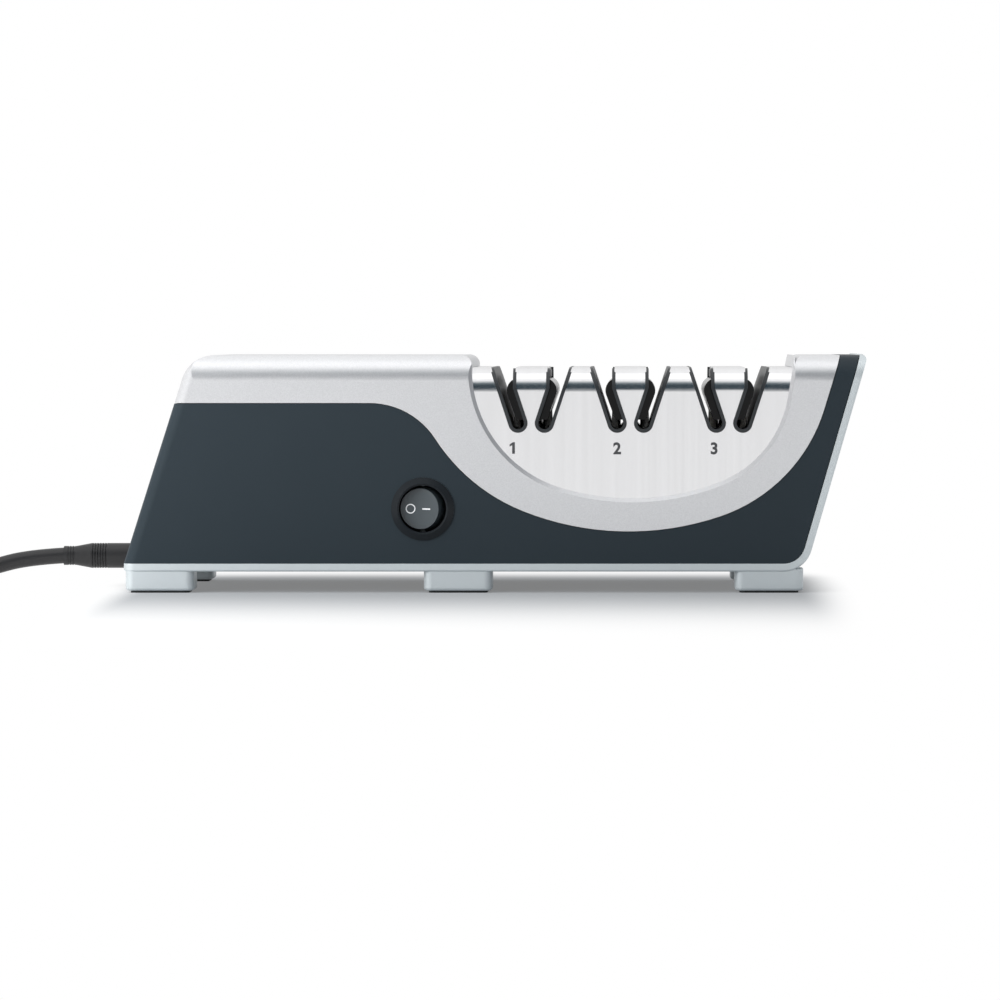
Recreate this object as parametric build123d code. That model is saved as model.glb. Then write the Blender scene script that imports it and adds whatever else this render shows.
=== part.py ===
from build123d import *
from math import atan, cos, degrees, radians, sin, tan
import os

# Electric knife sharpener with three grinding stages, millimetres.
# +X runs from the cord end to the end wall, the front faces -Y, +Z is up.
# The origin is on the bench, under the middle of the housing.

# ---- housing ----
length = 320.0
depth = 104.0
height = 102.8
foot_height = 9.2
floor = 3.4
wall = 2.5
end_wall = 3.1
cord_end_lean = 17.5
wall_end_lean = 16.2
shoulder_round = 14.5
top_round = 10.8
end_round = 5.0
heel_round = 12.5
end_wall_proud = 0.5
end_wall_round = 2.3
edge_round = 0.8
seam = 0.3
lip_reach = 4.0
lip_wall = 1.4
fit = 0.1

# ---- cover outline (front view) ----
cover_drop = 20.6
cover_turn = 112.1
cover_arcs = [(33.5, -57.2), (80.4, 35.4), (122.5, 40.7), (70.2, 54.1)]
window_reach = 68.3
plate_arcs = [(54.2, 72.9), (104.7, 37.7), (47.5, 59.4)]

# ---- steel plate ----
steel = 1.2
steel_drop = 5.3
steel_round = 10.4
rim = 4.0
rim_bevel = 1.6
shoulder = 4.5
tuck = 3.0

# ---- stages ----
stages = 3
stage_setback = 101.7
stage_pitch = 42.7
slot_lean = 18.2
slot_radius = 3.7
slot_foot_x = 5.7
slot_depth = 24.0
tongue_half = 6.85
liner = 1.0
lip_proud = 1.0
lip_over = 0.45
lip_seat = 0.05
lip_stop = 2.0
spring_sheet = 1.2
spring_drop = 4.6
spring_half = 10.8
spring_crown = 5.3
spring_lean = 20.0
spring_margin = 12.0
spring_length = 18.1
spring_web_gap = 0.8

# ---- drive line ----
axis_drop = 39.0
drive_dia = 8.0
drive_flat = 3.2
motor_dia = 6.0
run_fit = 0.05
seat = 0.02
disc_dia = 44.0
disc_face = 8.5
disc_cone = 0.5
disc_wall = 3.0
disc_hub_dia = 9.2
disc_gap = 1.5
coil_wire = 0.9
clip = 0.8
clip_dia = 11.0
clip_groove = 0.6
bush_dia = 14.0
bush_length = 8.0
bracket = 4.0
bracket_width = 40.0
bracket_reach = 65.75
joint_gap = 12.5
coupling_dia = 18.0
coupling_length = 16.0

# ---- motor ----
core_share = 0.6
core_stack = 30.0
core_front = 22.0
core_margin = 15.0
limb_width = 10.0
window_width = 10.0
core_half_height = 26.0
rotor_dia = 27.4
air_gap = 0.4
window_half = 16.0
coil_build = 8.5
bobbin = 1.0
plate_gap = 11.0
motor_plate = 2.5
motor_foot = 12.0
motor_bolt_pitch_y = 30.0
motor_bolt_pitch_z = 40.0
motor_bolt_dia = 3.0
motor_nut = 2.4
motor_nut_radius = 3.1
motor_bush_dia = 10.0
motor_bush_length = 8.0
motor_bush_shift = 1.5
shading_dia = 2.4
shading_y = 11.0
shading_z = 13.5
fan_dia = 50.0
fan_blades = 9
fan_width = 8.0
fan_gap = 39.0

# ---- switch ----
switch_reach = 89.3
switch_drop = 45.5
switch_dia = 23.4
bezel_dia = 27.0
bezel_proud = 1.8
bezel_edge = 0.5
bezel_bore = 20.3
rocker_face_dia = 16.8
rocker_waist_dia = 19.4
rocker_reach = 6.6
rocker_back = 3.0
rocker_dish = 1.3
rocker_lean = 12.0
rocker_pivot = 6.5
switch_body = 24.0
pivot_dia = 3.0
pivot_seat = 0.7
terminal_pitch = 10.0
terminal_width = 4.8
terminal_length = 7.0
terminal_sheet = 0.8

# ---- feet ----
foot_width = 29.5
foot_depth = 18.0
foot_inset = 0.5
foot_round = 3.5
pad = 2.0
pad_proud = 0.9
pad_border = 2.0
rear_mid_shift = -4.0

# ---- clean-out cover ----
hatch_length = 60.0
hatch_width = 40.0
hatch = 1.7
hatch_ledge = 2.5
magnet_length = 44.0
magnet_width = 9.0
magnet = 3.0

# ---- cord ----
cord_dia = 7.0
cord_z = 13.5
gland_dia = 11.0
gland_length = 32.0
gland_barrel = 19.7
gland_cone = 6.9
gland_ribs = 6
flex_dia = 8.4
flex_ribs = 3
rib_pitch = 1.15
rib_gap = 0.5
neck_dia = 8.0
wire_dia = 2.4
inner_cord_end = -129.5
clamp_x = -134.0
clamp_pitch = 19.0
clamp_bar = 3.0
coil_centre = (-295.0, 0.0)
coil_inner = 28.0
coil_outer = 49.0
coil_height = 21.0
tail_radius = 36.0
plug_relief = 14.0
relief_tip = 8.8
relief_root = 12.0
relief_ribs = 4
plug_length = 36.0
plug_width = 35.3
plug_waist = 17.0
plug_thickness = 13.7
pin_dia = 4.0
pin_length = 19.0
pin_pitch = 19.0

# ---- screws ----
screw_dia = 3.5
screw_head_dia = 7.0
screw_head = 2.4
base_screw = 12.8
cover_screw = 12.0
bracket_screw = 5.0
motor_screw = 4.6
clamp_screw = 7.0
boss_dia = 9.6
screw_y = 38.0
post_top_z = 30.0
sleeve_top_z = 20.0

half = length / 2
front = -depth / 2
parting_z = foot_height + floor
top_z = height - end_wall_proud
steel_z = top_z - steel_drop
steel_front = wall + fit
slot_foot_z = steel_z - slot_depth
spring_crown_z = steel_z - spring_drop
axis_z = steel_z - axis_drop
stage_mid_x = half - stage_setback
screw_x = [45.0 - half, stage_mid_x - 38.3, stage_mid_x + 33.7]
foot_x = [15.7 - half, -15.9, half - 42.0]
cover_edge_z = top_z - cover_drop
cover_turn_x = stage_mid_x - cover_turn
window_x = stage_mid_x - window_reach
switch_x = stage_mid_x - switch_reach
switch_z = cover_edge_z - switch_drop
stage_x = [stage_mid_x + (i - (stages - 1) / 2) * stage_pitch for i in range(stages)]
outer_bracket_x = stage_mid_x + bracket_reach
inner_bracket_x = stage_mid_x - bracket_reach
shaft_joint_x = inner_bracket_x - joint_gap
core_x = core_share * (shaft_joint_x + half) - half
fan_x = core_x - fan_gap
spring_end = depth / 2 - spring_margin
core_back = depth / 2 - core_margin
window_back = core_back - limb_width
window_front = window_back - window_width
lean_l = tan(radians(cord_end_lean))
lean_r = tan(radians(wall_end_lean))


# ---- helpers ----
def along_y(sketch, y0, y1):
    """Extrude a front-view sketch, drawn in x and z, from y0 to y1."""
    return Pos(0, y1, 0) * extrude(Plane.XZ * sketch, y1 - y0)


def along_x(sketch, x0, x1):
    """Extrude an end-view sketch, drawn in y and z, from x0 to x1."""
    return Pos(x0, 0, 0) * extrude(Plane.YZ * sketch, x1 - x0)


def block(x0, x1, y0, y1, z0, z1):
    """Box between two corners."""
    return Pos((x0 + x1) / 2, (y0 + y1) / 2, (z0 + z1) / 2) * Box(x1 - x0, y1 - y0, z1 - z0)


def rod_x(dia, x0, x1, y=0.0, z=axis_z):
    """Cylinder along X."""
    return Pos((x0 + x1) / 2, y, z) * Rot(0, 90, 0) * Cylinder(dia / 2, x1 - x0)


def rod_y(dia, y0, y1, x, z):
    """Cylinder along Y."""
    return Pos(x, (y0 + y1) / 2, z) * Rot(90, 0, 0) * Cylinder(dia / 2, y1 - y0)


def rod_z(dia, z0, z1, x, y):
    """Cylinder along Z."""
    return Pos(x, y, (z0 + z1) / 2) * Cylinder(dia / 2, z1 - z0)


def turned_x(points, x, z=axis_z):
    """Revolve an outline of (along, radius) points about an axis along X."""
    outline = make_face(Polyline(*points, close=True))
    return Pos(x, 0, z) * Rot(90, 0, 0) * revolve(outline, Axis.X)


def near(sketch, x, z):
    """The corner of a sketch nearest to a point."""
    return sketch.vertices().sort_by_distance(Vector(x, z, 0))[0]


def save(name, shape):
    """Write one node."""
    export_step(shape, "parts/" + name + ".step")


# ---- housing outlines ----
def cord_end_x(z):
    """Outer face of the leaning cord end."""
    return -half + lean_l * (z - parting_z)


def wall_end_x(z):
    """Outer face of the leaning end wall; its rounded top corner reaches the full length."""
    top_r = end_wall_round
    tangent_z = height - top_r - top_r * sin(radians(wall_end_lean))
    tangent_x = half - top_r + top_r * cos(radians(wall_end_lean))
    return tangent_x + lean_r * (z - tangent_z)


def casing_face(inset):
    """Front view of the housing above the base, offset inwards."""
    left = inset / cos(radians(cord_end_lean))
    right = (end_wall + seam + inset) / cos(radians(wall_end_lean))
    low = parting_z
    high = top_z - inset
    corners = [
        (cord_end_x(low) + left, low),
        (wall_end_x(low) - right, low),
        (wall_end_x(high) - right, high),
        (cord_end_x(high) + left, high),
    ]
    face = make_face(Polyline(*corners, close=True))
    face = fillet(near(face, *corners[3]), shoulder_round - inset)
    return fillet(near(face, *corners[1]), max(heel_round - end_wall - seam - inset, 1.0))


def arch_face(width, top, radius, bottom=parting_z):
    """End view of an upside-down U block with rounded top corners."""
    face = Pos(0, (top + bottom) / 2) * Rectangle(width, top - bottom)
    return fillet(face.vertices().group_by(Axis.Y)[-1], radius)


def casing(inset, rounded=False):
    """Solid form of the housing above the base."""
    body = along_y(casing_face(inset), front + inset, -front - inset)
    if rounded:
        edges = body.edges().filter_by(lambda e: abs(e.center().Y) > -front - inset - 0.1)
        ends = edges.filter_by(lambda e: e.center().X < cord_end_x(top_z) + shoulder_round
                               and e.center().Z > parting_z + 0.1)
        body = fillet(ends, end_round)
    arch = arch_face(depth - 2 * inset, top_z - inset, top_round - inset)
    return body & along_x(arch, -half - 1, half + 1)


def arc_chain(start, heading, arcs):
    """Tangent arcs, each given as radius and turn in degrees."""
    pieces = []
    point = Vector(*start)
    tangent = Vector(*heading)
    for radius, turn in arcs:
        arc = JernArc(start=point, tangent=tangent, radius=radius, arc_size=turn)
        pieces.append(arc)
        point = arc @ 1
        tangent = arc % 1
    return pieces, point, tangent


def cover_face(gap=0.0):
    """Front view of the cover region: all above its lower edge and the curved sweep."""
    above = top_z + 30
    arcs, end, tangent = arc_chain((cover_turn_x, cover_edge_z), (1, 0), cover_arcs)
    leave = end + tangent * ((above - end.Y) / tangent.Y)
    outer = (-half - 30, cover_edge_z)
    lines = [
        Line(outer, (cover_turn_x, cover_edge_z)),
        *arcs,
        Line(end, leave),
        Polyline((leave.X, leave.Y), (-half - 30, above), outer),
    ]
    face = make_face(Curve() + lines)
    return offset(face, -gap) if gap else face


def plate_face(grow=0.0):
    """Front view of the steel plate's window in the cover."""
    above = top_z + 30
    arcs, end, tangent = arc_chain((window_x, steel_z), (0, -1), plate_arcs)
    leave = end + tangent * ((above - end.Y) / tangent.Y)
    lines = [
        Line((window_x, above), (window_x, steel_z)),
        *arcs,
        Line(end, leave),
        Line(leave, (window_x, above)),
    ]
    face = make_face(Curve() + lines)
    return offset(face, grow) if grow else face


def window_face():
    """Front view of the opening in the cover, with its rounded shoulders at the top."""
    face = plate_face()
    for x, side in ((window_x, -1), (plate_right_x(top_z), 1)):
        corner = Pos(x + side * shoulder / 2, top_z) * Rectangle(shoulder, 2 * shoulder)
        round_part = Pos(x + side * shoulder, top_z - shoulder) * Circle(shoulder)
        face += corner - round_part
    return face


def plate_right_x(z):
    """Right edge of the steel plate's window near the top."""
    arcs, end, tangent = arc_chain((window_x, steel_z), (0, -1), plate_arcs)
    return end.X + tangent.X * (z - end.Y) / tangent.Y


def through(face):
    """Front-view region carried right through the housing."""
    return along_y(face, front - 10, -front + 10)


def bevel_cut():
    """Tapered cut that bevels the window's edge in the front wall."""
    sheet = Plane.XZ.offset(-front + 0.01) * plate_face(rim_bevel)
    return extrude(sheet, -steel_front, taper=degrees(atan(rim_bevel / steel_front)))


def steel_block(grow=0.0):
    """Solid bounded by the outside of the bent steel plate."""
    width = depth - 2 * steel_front + 2 * grow
    arch = arch_face(width, steel_z + grow, steel_round + grow, parting_z + 5 - grow)
    return along_x(arch, window_x - 30, half)


def steel_room(gap=0.0):
    """Solid bounded by the inside of the bent steel plate."""
    width = depth - 2 * (steel_front + steel + gap)
    arch = arch_face(width, steel_z - steel - gap, steel_round - steel - gap)
    return along_x(arch, window_x - 40, half + 10)


# ---- slots ----
slot_up = Vector(sin(radians(slot_lean)), cos(radians(slot_lean)))
slot_out = Vector(cos(radians(slot_lean)), -sin(radians(slot_lean)))
slot_foot = Vector(slot_foot_x, slot_foot_z)


def slot_corners(inset):
    """Low and high corners of the right-hand slot: inner foot, kink at the tongue, outer foot."""
    radius = slot_radius - inset
    inner_low = slot_foot - slot_out * radius
    tongue = tongue_half + inset
    kink = inner_low + slot_up * ((tongue - inner_low.X) / slot_up.X)
    return inner_low, kink, slot_foot + slot_out * radius


def slot_face(side, inset=0.0):
    """Front view of one knife slot: a leaning channel that opens upwards beside the tongue."""
    high = top_z + 5
    tongue = tongue_half + inset
    inner_low, kink, outer_low = slot_corners(inset)
    outer_high = outer_low + slot_up * ((high - outer_low.Y) / slot_up.Y)
    lines = [
        Line(outer_low, outer_high),
        Line(outer_high, (tongue, high)),
        Line((tongue, high), kink),
        Line(kink, inner_low),
        ThreePointArc(inner_low, slot_foot - slot_up * (slot_radius - inset), outer_low),
    ]
    face = make_face(Curve() + lines)
    return face if side > 0 else mirror(face, about=Plane.YZ)


def slot_faces(x, inset=0.0):
    """Both slots of the stage at x."""
    pair = Sketch() + [slot_face(1, inset), slot_face(-1, inset)]
    return Pos(x, 0) * pair


# ---- housing pieces ----
def screw_points():
    """Places of the base screws."""
    return [(x, side * screw_y) for x in screw_x for side in (-1, 1)]


def cover_points():
    """Places of the screws that hold the cover."""
    return [(x, side * screw_y) for x in cover_screw_x for side in (-1, 1)]


def make_body():
    """Dark housing: both long walls, the cord end and the strip beside the end wall."""
    outer = casing(0, rounded=True)
    hollow = casing(wall)
    lip = casing(wall + fit) - casing(wall + fit + lip_wall)
    root = casing(wall - fit) - casing(wall + fit + lip_wall)
    body = outer - hollow - through(cover_face(-seam))
    body += lip & through(cover_face(-seam) - cover_face(lip_reach))
    body += root & through(cover_face(-seam - lip_wall) - cover_face(-seam))
    for x, y in screw_points():
        side = 1 if y > 0 else -1
        body += rod_z(boss_dia - 2, sleeve_top_z, post_top_z, x, y)
        inner_face = side * (depth / 2 - wall)
        web = sorted([y, inner_face])
        body += block(x - 1.2, x + 1.2, web[0], web[1], sleeve_top_z, post_top_z)
        body -= rod_z(screw_dia - 0.5, sleeve_top_z, post_top_z - 2, x, y)
    for x, y in cover_points():
        side = 1 if y > 0 else -1
        shelf = sorted([y - side * 5, side * (depth / 2 - wall)])
        body += block(x - 6, x + 6, shelf[0], shelf[1], shelf_z - 3, shelf_z)
        body -= rod_z(screw_dia + 0.6, shelf_z - 4, shelf_z + 1, x, y)
    return body - switch_hole() - cord_hole()


def switch_hole():
    """Round panel hole for the switch."""
    return rod_y(switch_dia + 2 * fit, front - 1, front + 12, switch_x, switch_z)


def cord_hole():
    """Notch in the cord end that closes over the neck of the strain relief."""
    x0 = -half - 5
    x1 = -half + 12
    notch = rod_x(neck_dia + 2 * fit, x0, x1, 0, cord_z)
    return notch + block(x0, x1, -neck_dia / 2 - fit, neck_dia / 2 + fit, 0, cord_z)


def make_cover():
    """Silver cover: saddle over the cord end and a sweep round the steel plate."""
    outer = casing(0, rounded=True)
    ring = (outer & through(plate_face(rim))) - steel_block(fit)
    cover = (outer - casing(wall) + ring) & through(cover_face())
    cover -= through(window_face())
    bevel = bevel_cut()
    cover -= bevel + mirror(bevel, about=Plane.XZ)
    for x, y in cover_points():
        cover += rod_z(boss_dia - 2, shelf_z, top_z - wall, x, y)
        cover -= rod_z(screw_dia - 0.5, shelf_z, shelf_z + 12, x, y)
    return cover


def make_plate():
    """Bent steel plate with the knife slots cut from the front over the top to the back."""
    sheet = (steel_block() - steel_room()) & through(plate_face(tuck))
    for x in stage_x:
        sheet -= through(slot_faces(x))
    return sheet


def base_outline():
    """Front view of the base: floor, heel and leaning end wall."""
    t = end_wall / cos(radians(wall_end_lean))
    corners = [
        (-half, foot_height),
        (wall_end_x(foot_height), foot_height),
        (wall_end_x(height), height),
        (wall_end_x(height) - t, height),
        (wall_end_x(parting_z) - t, parting_z),
        (-half, parting_z),
    ]
    face = make_face(Polyline(*corners, close=True))
    face = fillet(near(face, *corners[1]), heel_round)
    face = fillet(near(face, *corners[4]), heel_round - end_wall)
    return fillet(near(face, *corners[2]), end_wall_round)


def outer_edge(edge):
    """True for the two long edges of the end wall's outer face."""
    middle = edge.center()
    on_wall = abs(middle.X - wall_end_x(middle.Z)) < 0.05
    return on_wall and abs(middle.Y) > depth / 2 - 0.01 and edge.length > height / 2


def foot_places():
    """Centres of the six feet."""
    places = []
    for i, x in enumerate(foot_x):
        y = depth / 2 - foot_inset - foot_depth / 2
        places.append((x, -y))
        places.append((x + (rear_mid_shift if i == 1 else 0), y))
    return places


def foot_block(width, deep, z0, z1, radius):
    """Upright block with rounded corners."""
    return Pos(0, 0, z0) * extrude(RectangleRounded(width, deep, radius), z1 - z0)


def make_base():
    """Silver base with feet, screw sleeves, brackets' seats and the cord trough."""
    base = along_y(base_outline(), front, -front)
    corners = base.edges().filter_by(Axis.Z).filter_by(lambda e: e.center().X < -half + 1)
    base = fillet(corners, end_round)
    base = fillet(base.edges().filter_by(outer_edge), edge_round)
    base = base & along_x(arch_face(depth, height, top_round, 0), -half - 1, half + 1)
    base += block(-half + 4, inner_cord_end + 4, -7, 7, cord_z - neck_dia / 2 - 2.5, parting_z)
    for x, y in foot_places():
        foot = foot_block(foot_width, foot_depth, pad_proud, foot_height + 1, foot_round)
        foot = fillet(foot.edges().group_by(Axis.Z)[0], 1.3)
        foot -= foot_block(foot_width - 2 * pad_border, foot_depth - 2 * pad_border, 0, pad, 2)
        base += Pos(x, y, 0) * foot
    for x, y in screw_points():
        base += rod_z(boss_dia + 1.6, foot_height, sleeve_top_z, x, y)
        base -= rod_z(screw_head_dia + 1, foot_height - 1, sleeve_top_z - 5, x, y)
        base -= rod_z(screw_dia + 0.6, foot_height, sleeve_top_z + 1, x, y)
    for x, y in seat_points():
        base += rod_z(7, parting_z, seat_z, x, y)
        base -= rod_z(screw_dia - 0.7, parting_z - 1, seat_z + 1, x, y)
    base -= hatch_block(fit, foot_height - 1, foot_height + hatch + fit)
    base -= hatch_block(-hatch_ledge, foot_height, parting_z + 1)
    base -= rod_x(cord_dia + 0.4, -half + 3, inner_cord_end + 1.5, 0, cord_z)
    base -= cord_hole()
    return base


def hatch_block(grow, z0, z1):
    """Block of the clean-out opening, grown sideways."""
    x = hatch_length / 2 + grow
    y = hatch_width / 2 + grow
    return block(stage_mid_x - x, stage_mid_x + x, -y, y, z0, z1)


def make_hatch():
    """Clean-out cover under the discs, with a finger notch."""
    cover = hatch_block(0, foot_height, foot_height + hatch)
    notch_x = stage_mid_x + hatch_length / 2 - 5
    return cover - rod_z(14, foot_height - 1, foot_height + hatch / 2, notch_x, 0)


def make_magnet():
    """Magnet strip on the clean-out cover that gathers the filings."""
    z = foot_height + hatch
    x = magnet_length / 2
    return block(stage_mid_x - x, stage_mid_x + x, -magnet_width / 2, magnet_width / 2, z, z + magnet)


def make_pads():
    """Six rubber pads."""
    pads = []
    for x, y in foot_places():
        inset = 2 * pad_border + 2 * fit
        one = foot_block(foot_width - inset, foot_depth - inset, 0, pad, 2 - fit)
        pads.append(Pos(x, y, 0) * one)
    return pads


# ---- guides ----
def guide_form(proud):
    """Form of one stage: proud of the plate at the front and back, level with it on top."""
    width = depth - 2 * steel_front + 2 * proud
    arch = arch_face(width, steel_z, steel_round + proud, slot_foot_z - 3 * slot_radius)
    return along_x(arch, -stage_pitch / 2, stage_pitch / 2)


def wall_strip(side):
    """Front view of the outer wall of one channel."""
    near_edge = slot_foot + slot_out * (slot_radius - liner - 0.6)
    far_edge = slot_foot + slot_out * (slot_radius + 1)
    low = -slot_up * (slot_radius + 1)
    high = slot_up * 2 * slot_depth
    corners = [near_edge + low, far_edge + low, far_edge + high, near_edge + high]
    strip = make_face(Polyline(*corners, close=True))
    return strip if side > 0 else mirror(strip, about=Plane.YZ)


def bridge_face():
    """Front view of the web that joins the two channels behind the tongue."""
    inner_low, kink, outer_low = slot_corners(liner / 2)
    right = [(inner_low.X, inner_low.Y), (kink.X, kink.Y), (kink.X, top_z)]
    left = [(-x, z) for x, z in reversed(right)]
    return make_face(Polyline(*right, *left, close=True))


def make_liner(x):
    """Plastic guide of one stage: two leaning channels with lips, joined behind the tongue."""
    ring = slot_faces(0, fit / 2) - slot_faces(0, liner + fit / 2)
    lip = slot_faces(0, -lip_over) - slot_faces(0, liner + fit / 2)
    channels = guide_form(lip_proud) & through(ring)
    shell = guide_form(lip_proud) - guide_form(lip_seat)
    shell -= block(-stage_pitch, stage_pitch, front, -front, steel_z - lip_stop, height)
    channels += shell & through(lip)
    opening_end = spring_end + 2
    open_z = slot_foot_z + 0.5
    inner = block(-spring_half - 1, spring_half + 1, -opening_end, opening_end, open_z, height)
    outer_walls = through(Sketch() + [wall_strip(1), wall_strip(-1)])
    channels -= inner - outer_walls
    bridge = through(bridge_face()) & steel_room(fit)
    bridge -= block(-20, 20, -opening_end, opening_end, 0, spring_crown_z + fit)
    disc_room = rod_x(disc_dia + 3, -disc_face - 0.6, disc_face + 0.6)
    return Pos(x, 0, 0) * (channels + bridge - disc_room)


def spring_side(inset):
    """Right half of the leaf spring's outline: flat crown, round hip, leaning leg."""
    high = spring_crown_z - inset
    radius = spring_half - spring_crown - inset
    crown = Line((0, high), (spring_crown, high))
    hip = JernArc(start=crown @ 1, tangent=(1, 0), radius=radius, arc_size=-90 - spring_lean)
    bend = hip @ 1
    way = hip % 1
    foot_z = spring_crown_z - spring_length
    foot = bend + way * ((foot_z - bend.Y) / way.Y)
    return [crown, hip, Line(bend, foot)], crown @ 0, foot


def both_halves(face):
    """A front-view face and its mirror image."""
    return face + mirror(face, about=Plane.YZ)


def make_guide_spring(x):
    """Moulded leaf spring under the tongue: a crown, two bowed legs and a web at each end."""
    outer, outer_top, outer_foot = spring_side(0)
    inner, inner_top, inner_foot = spring_side(spring_sheet)
    ends = [Line(outer_foot, inner_foot), Line(inner_top, outer_top)]
    leaf = make_face(Curve() + [*outer, *inner, *ends])
    middle = (0, inner_foot.Y)
    core = [*inner, Line(inner_foot, middle), Line(middle, inner_top)]
    web = both_halves(make_face(Curve() + core))
    body = along_y(both_halves(leaf), -spring_end, spring_end)
    body += along_y(web, -spring_end + spring_web_gap, -spring_end + spring_web_gap + spring_sheet)
    body += along_y(web, spring_end - spring_web_gap - spring_sheet, spring_end - spring_web_gap)
    body -= rod_x(disc_dia + 5, -disc_face - 4, disc_face + 4)
    return Pos(x, 0, 0) * body


# ---- drive line ----
def make_drive_shaft():
    """Shaft of the grinding discs, with flats and clip grooves."""
    shaft = rod_x(drive_dia, shaft_joint_x, outer_bracket_x + bush_length / 2 + 2)
    for x in stage_x:
        reach = disc_face + clip
        shaft -= block(x - reach, x + reach, -10, 10, axis_z + drive_flat, axis_z + 10)
        for side in (-1, 1):
            near_x = x + side * (disc_face + 0.1)
            far_x = near_x + side * (clip + 0.1)
            low, high = sorted([near_x, far_x])
            shaft -= rod_x(drive_dia + 2, low, high) - rod_x(drive_dia - 2 * clip_groove, low, high)
    return shaft


def make_clips():
    """Retaining clips outside each disc."""
    clips = []
    for x in stage_x:
        for side in (-1, 1):
            low, high = sorted([disc_face + 0.15, disc_face + 0.15 + clip])
            ring = rod_x(clip_dia, low, high) - rod_x(drive_dia - 2 * clip_groove + 2 * seat, low, high)
            ring -= block(low - 1, high + 1, -2.2, 2.2, axis_z - 10, axis_z)
            clips.append(Pos(x, 0, 0) * (ring if side > 0 else mirror(ring, about=Plane.YZ)))
    return clips


def make_disc(x, side):
    """Cone-faced grinding disc with a hub that slides on the flatted shaft."""
    r = disc_dia / 2
    hub = disc_hub_dia / 2 + 2
    face = disc_face
    outline = [
        (disc_gap + 0.5, 0),
        (disc_gap + 0.5, disc_hub_dia / 2),
        (face - disc_wall, disc_hub_dia / 2),
        (face - disc_wall, hub + 5),
        (face - disc_wall - 1.2, hub + 7),
        (face - disc_wall - 1.2, r - 2),
        (face - disc_wall - 0.2, r),
        (face - disc_cone, r),
        (face, hub + 3),
        (face, 0),
    ]
    body = turned_x(outline, 0)
    bore = rod_x(drive_dia + 2 * run_fit, 0, face + 1)
    bore -= block(-1, face + 2, -10, 10, axis_z + drive_flat + run_fit, axis_z + 10)
    body -= bore
    body = body if side > 0 else mirror(body, about=Plane.YZ)
    return Pos(x, 0, 0) * body


def make_disc_spring(x):
    """Compression spring between the two discs of a stage."""
    inner = disc_hub_dia / 2 + 0.3
    radius = inner + coil_wire / 2
    room = disc_face - disc_wall - coil_wire / 2 - 0.05
    turns = 4
    path = Helix(pitch=2 * room / turns, height=2 * room, radius=radius)
    section = Plane(origin=path @ 0, z_dir=path % 0) * Circle(coil_wire / 2)
    coil = sweep(section, path=path)
    return Pos(x - room, 0, axis_z) * Rot(0, 90, 0) * coil


def make_bush(x, dia, outer, width):
    """Plain bearing bush."""
    return rod_x(outer, x - width / 2, x + width / 2) - rod_x(dia + 2 * run_fit, x - width, x + width)


def make_bracket(x):
    """Upright bearing bracket with a screwed foot."""
    half_width = bracket_width / 2
    top = axis_z + bush_dia / 2 + 4
    corners = [
        (-half_width, seat_z),
        (half_width, seat_z),
        (half_width, seat_z + 12),
        (bush_dia / 2 + 4, top),
        (-bush_dia / 2 - 4, top),
        (-half_width, seat_z + 12),
    ]
    face = make_face(Polyline(*corners, close=True))
    body = along_x(face, x - bracket / 2, x + bracket / 2)
    body += block(x - 12, x + bracket / 2, -half_width, half_width, seat_z, seat_z + 3)
    body += rod_x(bush_dia + 5, x - bush_length / 2, x + bush_length / 2)
    body -= rod_x(bush_dia + 2 * seat, x - bush_length, x + bush_length)
    for sx, sy in bracket_seats(x):
        body -= rod_z(screw_dia + 0.4, seat_z - 1, seat_z + 4, sx, sy)
    return body


def bracket_seats(x):
    """Screw places of a bearing bracket."""
    return [(x - 7.0, side * (bracket_width / 2 - 5)) for side in (-1, 1)]


def make_coupling():
    """Sleeve that joins the motor shaft to the drive shaft."""
    x0 = shaft_joint_x - coupling_length / 2
    x1 = shaft_joint_x + coupling_length / 2
    body = rod_x(coupling_dia, x0, x1)
    body = fillet(body.edges(), 1)
    body -= rod_x(motor_dia + 2 * seat, x0 - 1, shaft_joint_x)
    return body - rod_x(drive_dia + 2 * seat, shaft_joint_x, x1 + 1)


# ---- motor ----
def bolt_points():
    """Places of the motor bolts in the end view."""
    y = motor_bolt_pitch_y / 2
    z = motor_bolt_pitch_z / 2
    return [(sy * y, axis_z + sz * z) for sy in (-1, 1) for sz in (-1, 1)]


core_x0 = core_x - core_stack / 2
core_x1 = core_x + core_stack / 2
plate_right = core_x1 + plate_gap
plate_left = core_x0 - plate_gap


def make_core():
    """Laminated stator of a shaded-pole motor with the coil limb at the back."""
    low = axis_z - core_half_height
    high = axis_z + core_half_height
    core = block(core_x0, core_x1, -core_front, core_back, low, high)
    core -= block(core_x0 - 1, core_x1 + 1, window_front, window_back,
                  axis_z - window_half, axis_z + window_half)
    core -= rod_x(rotor_dia + 2 * air_gap, core_x0 - 1, core_x1 + 1)
    for y, z in bolt_points():
        core -= rod_x(motor_bolt_dia + 0.4, core_x0 - 1, core_x1 + 1, y, z)
    for y, z in shading_points():
        core -= rod_x(shading_dia, core_x0 - 1, core_x1 + 1, y, z)
    return core


def shading_points():
    """Places of the shading bars in the end view."""
    return [(side * shading_y, axis_z + side * shading_z) for side in (-1, 1)]


def make_shading_rings():
    """Copper shading bars in the pole faces."""
    dia = shading_dia - 2 * seat
    return [rod_x(dia, core_x0 - 2, core_x1 + 2, y, z) for y, z in shading_points()]


def limb_block(grow, reach):
    """Block round the coil limb, grown sideways and along the limb."""
    mid = (window_back + core_back) / 2
    half_limb = (core_back - window_back) / 2
    return block(core_x0 - grow, core_x1 + grow, mid - half_limb - grow, mid + half_limb + grow,
                 axis_z - reach, axis_z + reach)


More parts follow.
